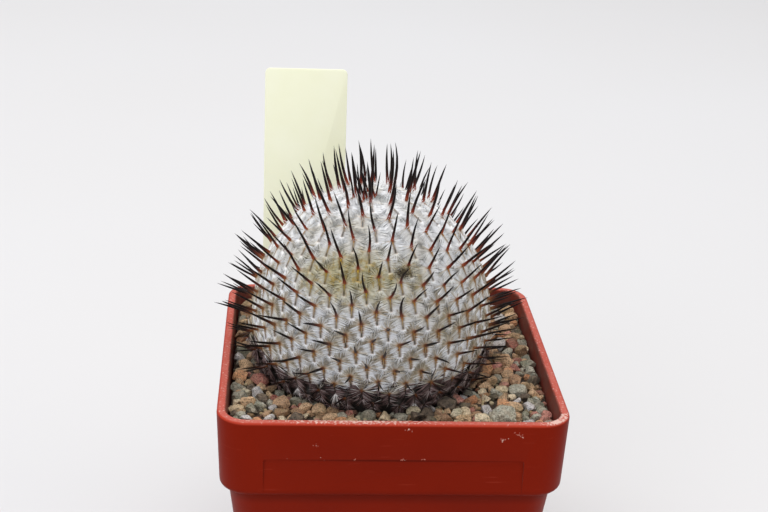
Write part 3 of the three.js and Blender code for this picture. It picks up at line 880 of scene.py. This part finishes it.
def model_gravel():
    """The loose stones, one piece for each kind, and the fine grit between them."""
    draw = random.Random(5)
    common = [
        model_stone(f"stone_{i}", seed=20 + i, detail=2, cuts=9, keep=(0.5, 0.88))
        for i in range(COMMON_SHAPES)]
    rough = [model_rough_stone(f"rough_{i}", seed=40 + i) for i in range(ROUGH_SHAPES)]
    grains = [
        model_stone(f"grain_{i}", seed=60 + i, detail=1, cuts=2, keep=(0.6, 0.9))
        for i in range(GRAIN_SHAPES)]
    places = {kind: [] for kind in STONE_SHARES}
    for number, (x, y, radius, kind) in enumerate(strew_stones(draw)):
        listed = number < len(FRONT_STONES)
        shape = draw.choice(rough if listed else common)
        flatness = LISTED_FLATNESS if listed else STREWN_FLATNESS
        tint = draw.uniform(0.5, 1.0) if listed else draw.random()
        places[kind].append((shape, stone_matrix(x, y, radius, draw, flatness), tint))
    pieces = {kind: repeat(f"gravel_{kind}", spots) for kind, spots in places.items()}
    grit = []
    half = collar_half(SOIL_TOP) - RIM_WALL
    while len(grit) < GRIT_COUNT:
        x = draw.uniform(-half, half)
        y = draw.uniform(-half, half)
        radius = draw.uniform(*GRIT_SIZES)
        if place_is_free(x, y, radius + 0.05):
            grain = draw.choice(grains)
            grit.append((grain, stone_matrix(x, y, radius, draw, STREWN_FLATNESS), draw.random()))
    pieces["grit"] = repeat("fine_grit", grit, [*common, *rough, *grains])
    for piece in pieces.values():
        only(piece)
        bpy.ops.object.shade_smooth_by_angle(angle=math.radians(22))
    return pieces


# What each kind of stone is made of: its name, dark and light colour, the colour of its flecks,
# the grain in mm and the roughness

STONE_LOOKS = {
    "tan": ("tan_pumice", "#9E7454", "#F0C89C", "#664630", 0.45, 0.95),
    "ochre": ("burnt_clay_grit", "#AC683E", "#F2B07C", "#5C3822", 0.35, 0.9),
    "grey_green": ("zeolite", "#767A6C", "#C2C0AE", "#4C4E46", 0.5, 0.85),
    "cream": ("cream_feldspar", "#E6C89C", "#FFF4D4", "#A08A68", 0.7, 0.6),
    "pale_grey": ("milky_quartz", "#B4B2B4", "#EAE6E4", "#828084", 0.8, 0.5),
    "red": ("red_lava", "#984C40", "#E2988A", "#502820", 0.35, 0.95),
    "dark": ("basalt", "#2A241F", "#544A40", "#141110", 0.3, 0.9),
}


def broken_stone(look):
    """A broken stone: matt and granular, its tone differing from stone to stone, under dust and algae."""
    name, dark, light, fleck, grain, roughness = look
    material, add = new_material(name)
    place = add("TexCoord", out="Object")
    tint = add("Attribute", out="Fac", attribute_name="tint")
    clouds = add("TexNoise", place, Scale=per(0.7), Detail=6, Roughness=0.7)
    varied = add("Math", clouds, tint, operation="ADD")
    tone = add("MapRange", varied, From_Min=0.45, From_Max=1.5)
    body = add("ValToRGB", tone, ramp=[(0, dark), (1, light)])
    grains = add("TexVoronoi", place, Scale=per(grain))
    spots = add("MapRange", grains, From_Min=0.6, From_Max=0.1, To_Max=0.55)
    flecked = add("Mix", spots, body, fleck, data_type="RGBA")
    dusty = patched(add, place, flecked, "#CAAE90", 1.3, 0.38, 0.62, 0.35, Detail=6, Roughness=0.75)
    mossy = patched(add, place, dusty, "#60643F", 3.5, 0.5, 0.66, 0.42, Detail=5)
    pitted = patched(add, place, mossy, "#2C241C", 0.22, 0.52, 0.36, 0.6, Detail=2)
    # Painted shade: the stones darken near the plant's foot, where its overhang shades them.
    far = near_place(add, place, (STEM_CENTRE.x, STEM_CENTRE.y, SOIL_COLLAR), (21, 21, 12))
    plant_shade_share = add("MapRange", far, From_Min=1.05, From_Max=0.95, To_Max=0.4)
    shaded_by_plant = add("Mix", plant_shade_share, pitted, "#241E1A", data_type="RGBA")
    bump = add("Bump", Height=clouds, Strength=1, Distance=0.45 * MM)
    return shade(material, Base_Color=shaded_by_plant, Normal=bump, Roughness=roughness, IOR=1.5)


def fine_soil():
    """Sifted peat and mineral dust between the stones: dark, dull and crumbly."""
    material, add = new_material("fine_soil")
    crumbs = add("TexNoise", add("TexCoord", out="Object"), Scale=per(0.6), Detail=8, Roughness=0.7)
    tone = add("ValToRGB", crumbs, ramp=[(0.35, "#1E1814"), (0.55, "#43372B"), (0.7, "#6B5A45")])
    bump = add("Bump", Height=crumbs, Strength=1, Distance=0.3 * MM)
    return shade(material, Base_Color=tone, Normal=bump, Roughness=1)


def mixed_grit():
    """Fine mineral grit: each grain its own colour, from dark earth over tan and grey-green to cream."""
    material, add = new_material("mixed_grit")
    tone = add("ValToRGB", add("Attribute", out="Fac", attribute_name="tint"), ramp=[
        (0, "#2E2620"), (0.25, "#54422F"), (0.4, "#7E6444"), (0.55, "#6A6C5A"), (0.7, "#6E3C28"),
        (0.85, "#9C865E"), (1, "#BFB08E")])
    return shade(material, Base_Color=tone, Roughness=0.9)


# The plant

CORE_RINGS = 16
TUBERCLE_FOOT = 2.2              # radius, mm
TUBERCLE_TIP = 0.3
TUBERCLE_HEIGHT = 2.2
TUBERCLE_MIDDLE = (0, -0.1, -1.45)
PIT_DEPTH = 1.9                  # between the tubercles
KEEL_LENGTH = 2.2                # of the areole that runs down each tubercle
KEEL_SLOPE = math.radians(9)
CROWN_WOOL = 44                  # upright hairs round an areole at the very top
YOUNG_HEIGHT = 0.75              # where young areoles begin, as a share of the globe's half height
RADIAL_LENGTH = 2.9
PAD_HALF = (0.15, KEEL_LENGTH / 2, 0.12)   # half the felt's width, length and height
SKIRT_TOP = 58.4                 # below this level the spines are old, brown and hanging
SKIRT_DEPTH = 2.2                # over which they age
SKIRT_SIDES = 0.8                # how far its edge rises at the sides and falls in front
RAG_HEIGHT = 1.8                 # of its ragged edge
RAG_WIDTH = 4
STUNTED_TOP = 57.5               # below this one they are shorter too
STUNTED_DEPTH = 2.5
SPINE_LENGTH = 6.6
SPINE_PROFILE = (                # of a central spine: height and radius
    (0, 0.26), (0.25, 0.29), (0.7, 0.255), (1.3, 0.23), (2.7, 0.21), (4.3, 0.16), (5.7, 0.08),
)
SPINE_BOWS = (0.0, 0.02, 0.04, 0.06)
SPINE_CLEAR = 0.8                # a drawn spine's tip stands at least this far off the globe
SPINE_FOOT = 0.6                 # and the corners of its foot lie within this of their middle
CROWN_BUNDLE = (                 # foot and tip of the young dark spines that lean together in the crown, mm
    ((-6.4, -0.1, 85.3), (-7.3, 1.3, 90.4)), ((-5.9, -2.8, 85.1), (-6.6, -0.9, 91.2)),
    ((-5.5, -4.2, 84.9), (-4.9, -2.4, 90.8)), ((-4.7, -3.0, 85.2), (-6.0, -1.4, 90.4)),
    ((-4.1, -4.4, 85.0), (-3.7, -2.5, 91.1)), ((-3.3, -2.7, 85.3), (-4.8, -1.3, 90.0)),
    ((-4.4, -0.2, 85.5), (-5.7, 0.7, 89.4)), ((-3.1, -2.0, 85.4), (-2.4, -1.1, 89.6)),
    ((-7.0, -2.4, 85.0), (-7.9, -0.9, 90.0)), ((-5.2, -3.4, 85.1), (-6.7, -2.0, 90.0)),
)
TUFT_PLACES = (                  # where an old areole still has white hairs
    Vector((-9.1, -18.6, 57.0)), Vector((-17.0, -14.5, 57.0)), Vector((3.5, -19.6, 56.4)),
    Vector((12.0, -14.2, 56.5)),
)
TUFT_REACH = 1.9
TUFT_HAIRS = 16
FLOWER_PLACE = Vector((1.1, -16.2, 76.6))
FLOWER_HAIRS = 260
SAP_PLACE = Vector((-7.6, -17.0, 75.6))
SAP_REACH = (15.0, 13.0, 5.2)

# The fans of radial spines on an areole: how many, whether in pairs to both sides, and from the first
# to the last the share of the way down the keel, the turn up from level and the sink to the stem in
# degrees, the length in mm and the whiteness

RADIAL_FANS = (
    (15, True, (0, 1), (-24, -6), (8, 13), (2.9, 2.4), (0.4, 1.0)),
    (8, True, (0, 0), (-22, 38), (12, 17), (3.2, 2.7), (0.15, 0.15)),
    (12, False, (0, 0), (38, 142), (15, 15), (2.7, 2.7), (0.25, 0.25)),
    (12, False, (1, 1), (-165, -15), (8, 8), (2.1, 2.1), (1.1, 1.1)),
)

Areole = namedtuple("Areole", "tip out upwards across height")


def plant_turn():
    """The turn from straight up to the plant's lean."""
    return UP.rotation_difference(Vector((-math.sin(STEM_LEAN), -math.sin(STEM_LEAN), 1)).normalized())


def on_stem(direction):
    """The place on the globe, at the areoles' radius, in a direction from its centre."""
    across = math.hypot(direction.x, direction.y) / STEM_ACROSS
    return STEM_CENTRE + direction / math.hypot(across, direction.z / STEM_UPWARDS)


def out_of_stem(place):
    """The direction square to the globe's surface at a place."""
    from_centre = place - STEM_CENTRE
    squares = Vector((STEM_ACROSS ** 2, STEM_ACROSS ** 2, STEM_UPWARDS ** 2))
    return Vector([length / square for length, square in zip(from_centre, squares)]).normalized()


def find_areoles():
    """Each areole's tip with the directions out of it, up to the crown and across, from the crown down."""
    golden = math.pi * (3 - math.sqrt(5))
    turn = plant_turn()
    crown = turn @ UP
    areoles = []
    for number in range(2 * PER_HEMISPHERE):
        height = 1 - (number + 0.5) / PER_HEMISPHERE
        angle = FIRST_TURN - number * golden
        flat = math.sqrt(1 - height * height)
        tip = on_stem(turn @ Vector((flat * math.cos(angle), flat * math.sin(angle), height)))
        out = out_of_stem(tip)
        if tip.z > SOIL_COLLAR + 0.3:
            upwards = (crown - out * crown.dot(out)).normalized()
            areoles.append(Areole(tip, out, upwards, upwards.cross(out), height))
    return areoles


def areole_matrix(areole, sink=0.0):
    """Stands a shape on an areole: its X across, its Y up to the crown and its Z out of the stem."""
    turn = Matrix((areole.across, areole.upwards, areole.out)).transposed().to_4x4()
    return moved(areole.tip - areole.out * sink) @ turn


def youth(height):
    """From 0 on the sides of the plant to 1 in the crown, where the areoles are small."""
    return clamp((height - YOUNG_HEIGHT) / (1 - YOUNG_HEIGHT))


def age(place):
    """From 0 to 1 down the skirt of old spines, whose upper edge is ragged and higher at the sides."""
    aside = place - STEM_CENTRE
    sides = SKIRT_SIDES * math.cos(2 * math.atan2(aside.y, aside.x))
    edge = SKIRT_TOP + sides + RAG_HEIGHT * noise.noise(place / RAG_WIDTH)
    return clamp((edge - place.z) / SKIRT_DEPTH)


def model_tubercle():
    """One tubercle, its tip at the origin: a blunt cone with a ridge that runs down under the areole."""
    begin()
    bpy.ops.mesh.primitive_cone_add(
        vertices=10, radius1=TUBERCLE_FOOT * MM, radius2=TUBERCLE_TIP * MM, depth=TUBERCLE_HEIGHT * MM,
        location=[value * MM for value in TUBERCLE_MIDDLE])
    tubercle = named("tubercle")
    edit(tubercle)
    pick(tubercle, "faces", lambda face: face.normal.z > LEVEL)
    draw_by(-0.8 * KEEL_LENGTH, -KEEL_LENGTH * math.sin(KEEL_SLOPE))
    done()
    return tubercle


def model_stem(areoles):
    """The whole stem: a core with its foot in the soil and a tubercle under every areole, in one skin."""
    rings = stem_foot_rings(0)
    for step in range(1, CORE_RINGS):
        level = SOIL_COLLAR + (CORE_TOP - SOIL_COLLAR) * math.sin(step / CORE_RINGS * math.pi / 2)
        rings.append((level, foot_radius(min(level, CORE_TOP - NEAR), CORE_SINK), 0))
    core = draw_out("stem_core", 64, rings, tip=(CORE_TOP, 0))
    core.data.transform(moved((STEM_CENTRE.x, STEM_CENTRE.y, 0)))
    tubercle = model_tubercle()
    tubercles = repeat("tubercles", [(tubercle, areole_matrix(areole), 0) for areole in areoles], [tubercle])
    stem = join([core, tubercles], "spiny_stem")
    modify(stem, "REMESH", mode="VOXEL", voxel_size=0.34 * MM)
    modify(stem, "SMOOTH", factor=0.5, iterations=1)
    mark_lift(stem)
    only(stem)
    bpy.ops.object.shade_smooth()
    return stem


def mark_lift(stem):
    """Stores how high each place of the skin stands, from 0 in the pits to 1 at the tubercles' tips."""
    lift = stem.data.attributes.new("lift", "FLOAT", "POINT")
    for place, mark in zip(stem.data.vertices, lift.data):
        spot = place.co / MM
        depth = (on_stem((spot - STEM_CENTRE).normalized()) - spot).length
        mark.value = clamp(1 - depth / PIT_DEPTH)


def comb(areole, radial, draw):
    """The radials of one areole: a comb to each side of the keel, a roof over it, a fan at top and foot."""
    tip, out, upwards, across, height = areole
    size = (1 + 0.05 * youth(height)) * draw.uniform(0.94, 1.06)
    twist = draw.uniform(-7, 7)
    old = age(tip)
    stunted = clamp((STUNTED_TOP - tip.z) / STUNTED_DEPTH)
    dirt = draw.uniform(-0.15, 0.15) + clamp(height - 0.35, 0.45)
    keel = upwards * -math.cos(KEEL_SLOPE) - out * math.sin(KEEL_SLOPE)
    places = []

    def add(share, turn, sink, length, white):
        """One radial from a share of the way down the keel, turned up from level and sunk to the stem."""
        turn = math.radians(turn + twist + draw.uniform(-4, 4))
        sink = math.radians(sink + draw.uniform(-3, 3))
        side = 0.12 * math.cos(turn)
        root = tip + keel * share * KEEL_LENGTH * size + across * side * size - out * 0.04
        flat = across * math.cos(turn) + upwards * math.sin(turn)
        along = flat * math.cos(sink) - out * math.sin(sink) * (1 - old)
        along += (-UP * old + out * 0.5 * (old - stunted)) * draw.uniform(0.3, 1)
        stretch = length * size / RADIAL_LENGTH * draw.uniform(0.9, 1.08) * (1 + 0.3 * old - 0.65 * stunted)
        tint = clamp(white + dirt + draw.uniform(-0.25, 0.25))
        if draw.random() < age(root + along * length):
            tint = -draw.random()
        places.append((radial, placing(root, along, out, stretch), tint))

    for count, paired, *spans in RADIAL_FANS:
        for i in range(count):
            along_fan = (i + 0.5) / count if paired else i / (count - 1)
            share, turn, *rest = [first + (last - first) * along_fan for first, last in spans]
            add(share, turn, *rest)
            if paired:
                add(share, 180 - turn, *rest)
    for _ in range(round(CROWN_WOOL * youth(height))):
        aside = across * draw.uniform(-1.3, 1.3) + upwards * draw.uniform(-1.3, 1.3)
        along = out + aside * draw.uniform(-0.6, 0.6)
        places.append((radial, placing(tip + aside - out * 1.2, along, upwards, draw.uniform(0.6, 0.9)), 1.0))
    return places


def hanging_tuft(areole, radial, draw):
    """White hairs that hang from the foot of an old areole in a narrow fan."""
    tip, out, upwards, across, _ = areole
    foot = tip - upwards * KEEL_LENGTH - out * 0.5
    places = []
    for _ in range(TUFT_HAIRS):
        along = -UP + across * draw.uniform(-0.7, 0.7) + out * draw.uniform(0.0, 0.5)
        places.append((radial, placing(foot, along, out, draw.uniform(0.6, 1.05)), 2.0))
    return places


def model_radials(areoles):
    """All the radials, fine bristles that bow towards the stem, in an upper and a lower piece."""
    draw = random.Random(23)
    radial = draw_out("radial", 3, [(0, 0.085, 0), (1.5, 0.07, -0.02)], tip=(RADIAL_LENGTH, -0.25))
    ordered = sorted(areoles, key=lambda areole: -areole.tip.z)
    half = len(ordered) // 2
    pieces = []
    for name, part in (("radial_spines_upper", ordered[:half]), ("radial_spines_lower", ordered[half:])):
        places = [place for areole in part for place in comb(areole, radial, draw)]
        for areole in part:
            if any((areole.tip - spot).length < TUFT_REACH for spot in TUFT_PLACES):
                places.extend(hanging_tuft(areole, radial, draw))
        pieces.append(repeat(name, places))
    bpy.data.objects.remove(radial)
    return pieces


def model_felt(areoles):
    """The narrow felted areole down each tubercle's keel, wider where the central spine stands."""
    begin()
    bpy.ops.mesh.primitive_uv_sphere_add(segments=8, ring_count=6, radius=1 * MM)
    pad = named("areole_pad")
    edit(pad)
    resize(PAD_HALF)
    pick(pad, "faces", lambda face: middle(face).y > KEEL_LENGTH * 0.25)
    resize((2.0, 1, 1.7))
    pick(pad, "faces", lambda face: middle(face).y < -KEEL_LENGTH * 0.1)
    resize((0.5, 1, 0.5))
    done()
    mark_along(pad, "y", KEEL_LENGTH / 2, -KEEL_LENGTH / 2)
    pad.data.transform(moved((0, -KEEL_LENGTH * 0.45, 0)))
    pad.data.transform(turned(KEEL_SLOPE, "X"))
    draw = random.Random(29)
    places = []
    for areole in areoles:
        size = (1 - 0.3 * youth(areole.height)) * draw.uniform(0.7, 1.0)
        places.append((pad, areole_matrix(areole, 0.03) @ Matrix.Scale(size, 4), 0))
    return repeat("areole_felt", places, [pad])


def find_spines():
    """The foot, middle and tip, in mm, of every spine drawn on the CAD plant, found at its sharp tips."""
    mesh = bmesh.new()
    mesh.from_mesh(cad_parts["cactus"].data)
    bmesh.ops.remove_doubles(mesh, verts=mesh.verts, dist=NEAR * MM / 10)
    spines = []
    for tip in mesh.verts:
        spot = tip.co / MM
        clear = (spot - on_stem((spot - STEM_CENTRE).normalized())).length
        if len(tip.link_edges) != 3 or clear < SPINE_CLEAR:
            continue
        bends = {edge.other_vert(tip) for edge in tip.link_edges}
        feet = {edge.other_vert(bend) for bend in bends for edge in bend.link_edges} - bends - {tip}
        bend = sum((corner.co for corner in bends), Vector()) / 3 / MM
        foot = sum((corner.co for corner in feet), Vector()) / len(feet) / MM
        if len(feet) == 3 and all((corner.co / MM - foot).length < SPINE_FOOT for corner in feet):
            spines.append((foot, bend, spot))
    mesh.free()
    return sorted(spines, key=lambda spine: [round(value, 2) for value in spine[2]])


def model_spine(bow):
    """One central spine: bulbous at its foot, tapered to a needle tip, bowed by a share of its length."""
    rings = []
    for height, radius in SPINE_PROFILE:
        share = height / SPINE_LENGTH
        rings.append((height, radius, 4 * bow * SPINE_LENGTH * share * (1 - share)))
    return draw_out(f"spine_{round(bow * 100)}", 8, rings, tip=(SPINE_LENGTH, 0))


def model_spines():
    """Every central spine, standing where the CAD plant has it, and the bundle in the crown."""
    shapes = [model_spine(bow) for bow in SPINE_BOWS]
    draw = random.Random(31)
    places = []
    bundle = [(Vector(foot), (Vector(foot) + Vector(tip)) / 2, Vector(tip)) for foot, tip in CROWN_BUNDLE]
    for foot, bend, tip in find_spines() + bundle:
        chord = tip - foot
        sideways = bend - (foot + tip) / 2
        sideways -= chord * sideways.dot(chord) / chord.length_squared
        bow = min(range(len(SPINE_BOWS)), key=lambda i: abs(SPINE_BOWS[i] - sideways.length / chord.length))
        upper = sideways if sideways.length > 0.02 else UP
        places.append((shapes[bow], placing(foot, chord, upper, chord.length / SPINE_LENGTH), draw.random()))
    return repeat("central_spines", places, shapes)


def model_flower():
    """A withered flower that still hangs on the front of the plant: a shrivelled knot in dark fuzz."""
    out = out_of_stem(FLOWER_PLACE)
    begin()
    bpy.ops.mesh.primitive_ico_sphere_add(subdivisions=3, radius=0.5 * MM)
    knot = named("withered_knot")
    edit(knot)
    resize((1.5, 0.8, 0.9))
    done()
    for place in knot.data.vertices:
        folds = noise.noise(place.co / MM * 2.2) * 0.35
        place.co += place.co.normalized() * folds * MM
    hair = draw_out("withered_hair", 3, [(0, 0.07, 0), (0.9, 0.05, 0.1)], tip=(1.7, 0.4))
    draw = random.Random(37)
    heart = FLOWER_PLACE + out * 0.5
    places = [(knot, moved(heart), 0.1)]
    for _ in range(FLOWER_HAIRS):
        along = Vector((draw.gauss(0, 1), draw.gauss(0, 0.5), draw.gauss(0, 1))) + out * 0.3
        root = heart + Vector((draw.gauss(0, 0.75), 0, draw.gauss(0, 0.45))) + out * draw.uniform(-0.3, 0.4)
        places.append((hair, placing(root, along, UP, draw.uniform(0.3, 0.75)), draw.random()))
    return repeat("withered_flower", places, [knot, hair])


def sap_stain(add, place, colour, stain_colour):
    """Tints a colour olive yellow on the front, where the sap of old flowers has dried."""
    far = near_place(add, place, SAP_PLACE, SAP_REACH)
    patch = add("TexNoise", place, Scale=per(2.4), Detail=3)
    edge = add("Math", far, patch, operation="ADD")
    stain = add("MapRange", edge, From_Min=1.5, From_Max=0.8, To_Max=0.7)
    drops = add("TexNoise", place, Scale=per(0.9), Detail=2)
    thick = add("MapRange", drops, From_Min=0.52, From_Max=0.62)
    spotted = add("Math", thick, stain, operation="MULTIPLY")
    stained = add("Mix", stain, colour, stain_colour, data_type="RGBA")
    return add("Mix", spotted, stained, "#C8A63C", data_type="RGBA")


def skirt_weathering_and_shade(add, place, colour, weathered_shade_colour, most):
    """Darkens a colour down the skirt, for old spines weathering over the soil and painted shade there."""
    patch = add("TexNoise", place, Scale=per(1.8), Detail=3)
    ragged = add("Math", patch, 5 * MM, operation="MULTIPLY")
    level = add("Math", add("SeparateXYZ", place, out="Z"), ragged, operation="ADD")
    aged = add("MapRange", level, From_Min=(SKIRT_TOP + 3) * MM, From_Max=(SKIRT_TOP + 1) * MM, To_Max=most)
    return add("Mix", aged, colour, weathered_shade_colour, data_type="RGBA")


def succulent_skin():
    """The stem's skin: waxy, pale grey, white with wool in the crown, dark with painted shade in the skirt.
    """
    material, add = new_material("waxy_stem_skin")
    place = add("TexCoord", out="Object")
    lift = add("Attribute", out="Fac", attribute_name="lift")
    mottle = add("TexNoise", place, Scale=per(0.8), Detail=4)
    uneven = add("Math", mottle, 0.35, operation="MULTIPLY")
    level = add("Math", lift, uneven, operation="ADD")
    # Painted shade: the skin is darker down in the pits between the tubercles and paler at their tips.
    tone = add("ValToRGB", level, ramp=[(0.15, "#AEACA0"), (0.55, "#C2BEB2"), (0.95, "#CCC8BC")])
    crown = near_place(add, place, (STEM_CENTRE.x, STEM_CENTRE.y, STEM_CENTRE.z + STEM_UPWARDS), (18, 18, 16))
    woolly = add("MapRange", crown, From_Min=1.1, From_Max=0.6)
    wool = add("Mix", woolly, tone, "#E6E8E6", data_type="RGBA")
    stained = sap_stain(add, place, wool, "#A09440")
    # Weathering and painted shade: the skin darkens almost to black down the skirt.
    aged = skirt_weathering_and_shade(add, place, stained, "#1E1614", 0.95)
    return shade(material, Base_Color=aged, Roughness=0.6, IOR=1.45)


def radial_horn():
    """Radial spines: white, glassy horn with a satin gleam, tan where they root and brown in the skirt."""
    material, add = new_material("white_spine_horn")
    place = add("TexCoord", out="Object")
    along = add("Attribute", out="Fac", attribute_name="along")
    tint = add("Attribute", out="Fac", attribute_name="tint")
    white = add("ValToRGB", tint, ramp=[(0, "#9E9078"), (0.3, "#D4CCBE"), (0.55, "#F4F6F8"), (1, "#FFFFFF")])
    dusty = patched(add, place, white, "#C4B690", 6, 0.48, 0.7, 0.4, Detail=3)
    stained = sap_stain(add, place, dusty, "#C8BE84")
    weathered = add("Math", tint, -1.0, operation="MULTIPLY")
    brown = add("ValToRGB", weathered, ramp=[
        (0, "#2C1D1B"), (0.45, "#5E4643"), (0.75, "#8C736F"), (1, "#C4B8B4")])
    old = add("Math", tint, 0.0, operation="LESS_THAN")
    aged = add("Mix", old, stained, brown, data_type="RGBA")
    hairs = add("Math", tint, 1.5, operation="GREATER_THAN")
    bleached = add("Mix", hairs, aged, "#E4E0DC", data_type="RGBA")
    root = add("ValToRGB", along, ramp=[
        (0, "#8E6036"), (0.05, "#AC8052"), (0.12, "#C6A886"), (0.28, "#DED2C4")])
    lower = add("MapRange", tint, From_Min=0.35, From_Max=0.9, To_Max=0.2)
    grown = add("Math", along, lower, operation="ADD")
    bare = add("Math", grown, old, operation="ADD")
    clear = add("MapRange", bare, From_Min=0.11, From_Max=0.3)
    tone = add("Mix", clear, root, bleached, data_type="RGBA")
    return shade(material, Base_Color=tone, Roughness=0.42, IOR=1.5)


def areole_felt():
    """Areole felt: short tan wool, ochre and brown in places, quite matt."""
    material, add = new_material("areole_felt")
    place = add("TexCoord", out="Object")
    wool = add("TexNoise", place, Scale=per(0.5), Detail=4)
    uneven = add("Math", wool, 0.5, operation="MULTIPLY")
    level = add("Math", add("Attribute", out="Fac", attribute_name="along"), uneven, operation="ADD")
    tone = add("ValToRGB", level, ramp=[
        (0.2, "#74381E"), (0.35, "#96602F"), (0.55, "#A98352"), (0.9, "#B8A27C")])
    # Weathering and painted shade: the felt darkens down the skirt.
    aged = skirt_weathering_and_shade(add, place, tone, "#32241E", 0.85)
    stained = sap_stain(add, place, aged, "#A08C34")
    bump = add("Bump", Height=wool, Strength=0.8, Distance=0.08 * MM)
    return shade(material, Base_Color=stained, Normal=bump, Roughness=1)


def central_horn():
    """Central spines: smooth dark horn, red brown at the foot and near black above, duller low down."""
    material, add = new_material("dark_spine_horn")
    along = add("Attribute", out="Fac", attribute_name="along")
    tint = add("Attribute", out="Fac", attribute_name="tint")
    later = add("MapRange", tint, To_Min=1.3, To_Max=0.65)
    grown = add("Math", along, later, operation="MULTIPLY")
    tone = add("ValToRGB", grown, ramp=[
        (0, "#A05E3C"), (0.07, "#883820"), (0.15, "#622216"), (0.23, "#3A1610"), (0.33, "#190E0B"),
        (1, "#0E0A0B")])
    weathered = add("ValToRGB", grown, ramp=[
        (0, "#8E6C4A"), (0.07, "#6E4A2E"), (0.15, "#4C2C1E"), (0.25, "#2C1913"), (0.4, "#150E0C")])
    level = add("SeparateXYZ", add("TexCoord", out="Object"), out="Z")
    lower = add("MapRange", level, From_Min=78 * MM, From_Max=66 * MM, To_Max=0.85)
    aged = add("Mix", lower, tone, weathered, data_type="RGBA")
    return shade(material, Base_Color=aged, Roughness=0.42, IOR=1.5, Specular_IOR_Level=0.15)


def withered_petal():
    """Withered petals and hairs: papery, brown black and dull."""
    material, add = new_material("withered_petal")
    tone = add("ValToRGB", add("Attribute", out="Fac", attribute_name="tint"), ramp=[
        (0, "#2A231D"), (0.4, "#5A5044"), (0.8, "#8C8060"), (1, "#B4A678")])
    return shade(material, Base_Color=tone, Roughness=1)


# The label

def model_label_blank(name, margin):
    """The label's outline drawn down from its top edge to its point, grown all round by a margin."""
    half = LABEL_HALF + margin
    shoulder = LABEL_LENGTH - LABEL_POINT
    label = add_block(name, (2 * half, LABEL_THICK + 2 * margin, shoulder), (0, 0, -shoulder / 2))
    edit(label)
    pick(label, "faces", lambda face: face.normal.z < -LEVEL)
    draw_by(0, -(LABEL_POINT + margin))
    resize(((LABEL_TIP_HALF + margin) / half, 1, 1))
    done()
    behind = RIM_HALF - RIM_WALL - GAP - LABEL_CLEAR + (LABEL_TOP - RIM_TOP) * math.tan(LABEL_LEAN)
    label.data.transform(turned(-LABEL_LEAN, "X"))
    label.data.transform(moved((LABEL_X, behind, LABEL_TOP)))
    return label


def at_top_corner(edge):
    """A test for the label's two short upright edges at its top."""
    return abs(edge.verts[0].co.y - edge.verts[1].co.y) > 0.4 * MM and middle(edge).z > LABEL_TOP - 2


def model_label():
    """The label: a thin plate with a long point, round corners and softened edges."""
    label = model_label_blank("plant_label", 0)
    edit(label)
    pick(label, "edges", at_top_corner)
    bevel(1.0, 5)
    done()
    modify(label, "BEVEL", width=0.12 * MM, segments=2, limit_method="ANGLE")
    tidy_surface(label, 30)
    return label


def label_plastic():
    """Punched sheet of pale yellow PVC: matt, faintly mottled and a little soiled towards the soil."""
    material, add = new_material("pale_yellow_pvc")
    place = add("TexCoord", out="Object")
    cloud = add("TexNoise", place, Scale=per(9), Detail=4)
    tone = add("ValToRGB", cloud, ramp=[(0.3, "#F5F5D4"), (0.7, "#F8F8DC")])
    level = add("SeparateXYZ", place, out="Z")
    soiled = add("MapRange", level, From_Min=62 * MM, From_Max=50 * MM, To_Max=0.5)
    dirt = add("Mix", soiled, tone, "#A99A74", data_type="RGBA")
    grain = add("TexNoise", place, Scale=per(0.25), Detail=2)
    bump = add("Bump", Height=grain, Strength=0.3, Distance=0.03 * MM)
    return shade(material, Base_Color=dirt, Normal=bump, Roughness=0.55, IOR=1.5)


# The studio floor

def lay_floor():
    """A wide sheet of pale matt paper, its tone a little uneven."""
    begin()
    bpy.ops.mesh.primitive_plane_add(size=6)
    floor = named("floor")
    material, add = new_material("pale_paper")
    cloud = add("TexNoise", add("TexCoord", out="Object"), Scale=3, Detail=2)
    tone = add("ValToRGB", cloud, ramp=[(0.3, "#D7D5D4"), (0.7, "#D9D8D8")])
    floor.data.materials.append(shade(material, Base_Color=tone, Roughness=0.9))


# The scene

set_camera()
set_lights()
lay_floor()

finish_piece(model_pot(), polypropylene(), "pot")
finish_piece(model_specks(), dried_lime())
finish_piece(model_bed(), fine_soil(), "soil")
for kind, piece in model_gravel().items():
    finish_piece(piece, mixed_grit() if kind == "grit" else broken_stone(STONE_LOOKS[kind]))

areoles = find_areoles()
finish_piece(model_stem(areoles), succulent_skin(), "cactus")
horn = radial_horn()
for piece in model_radials(areoles):
    finish_piece(piece, horn)
finish_piece(model_felt(areoles), areole_felt())
finish_piece(model_flower(), withered_petal())
finish_piece(model_spines(), central_horn())
finish_piece(model_label(), label_plastic(), "label")
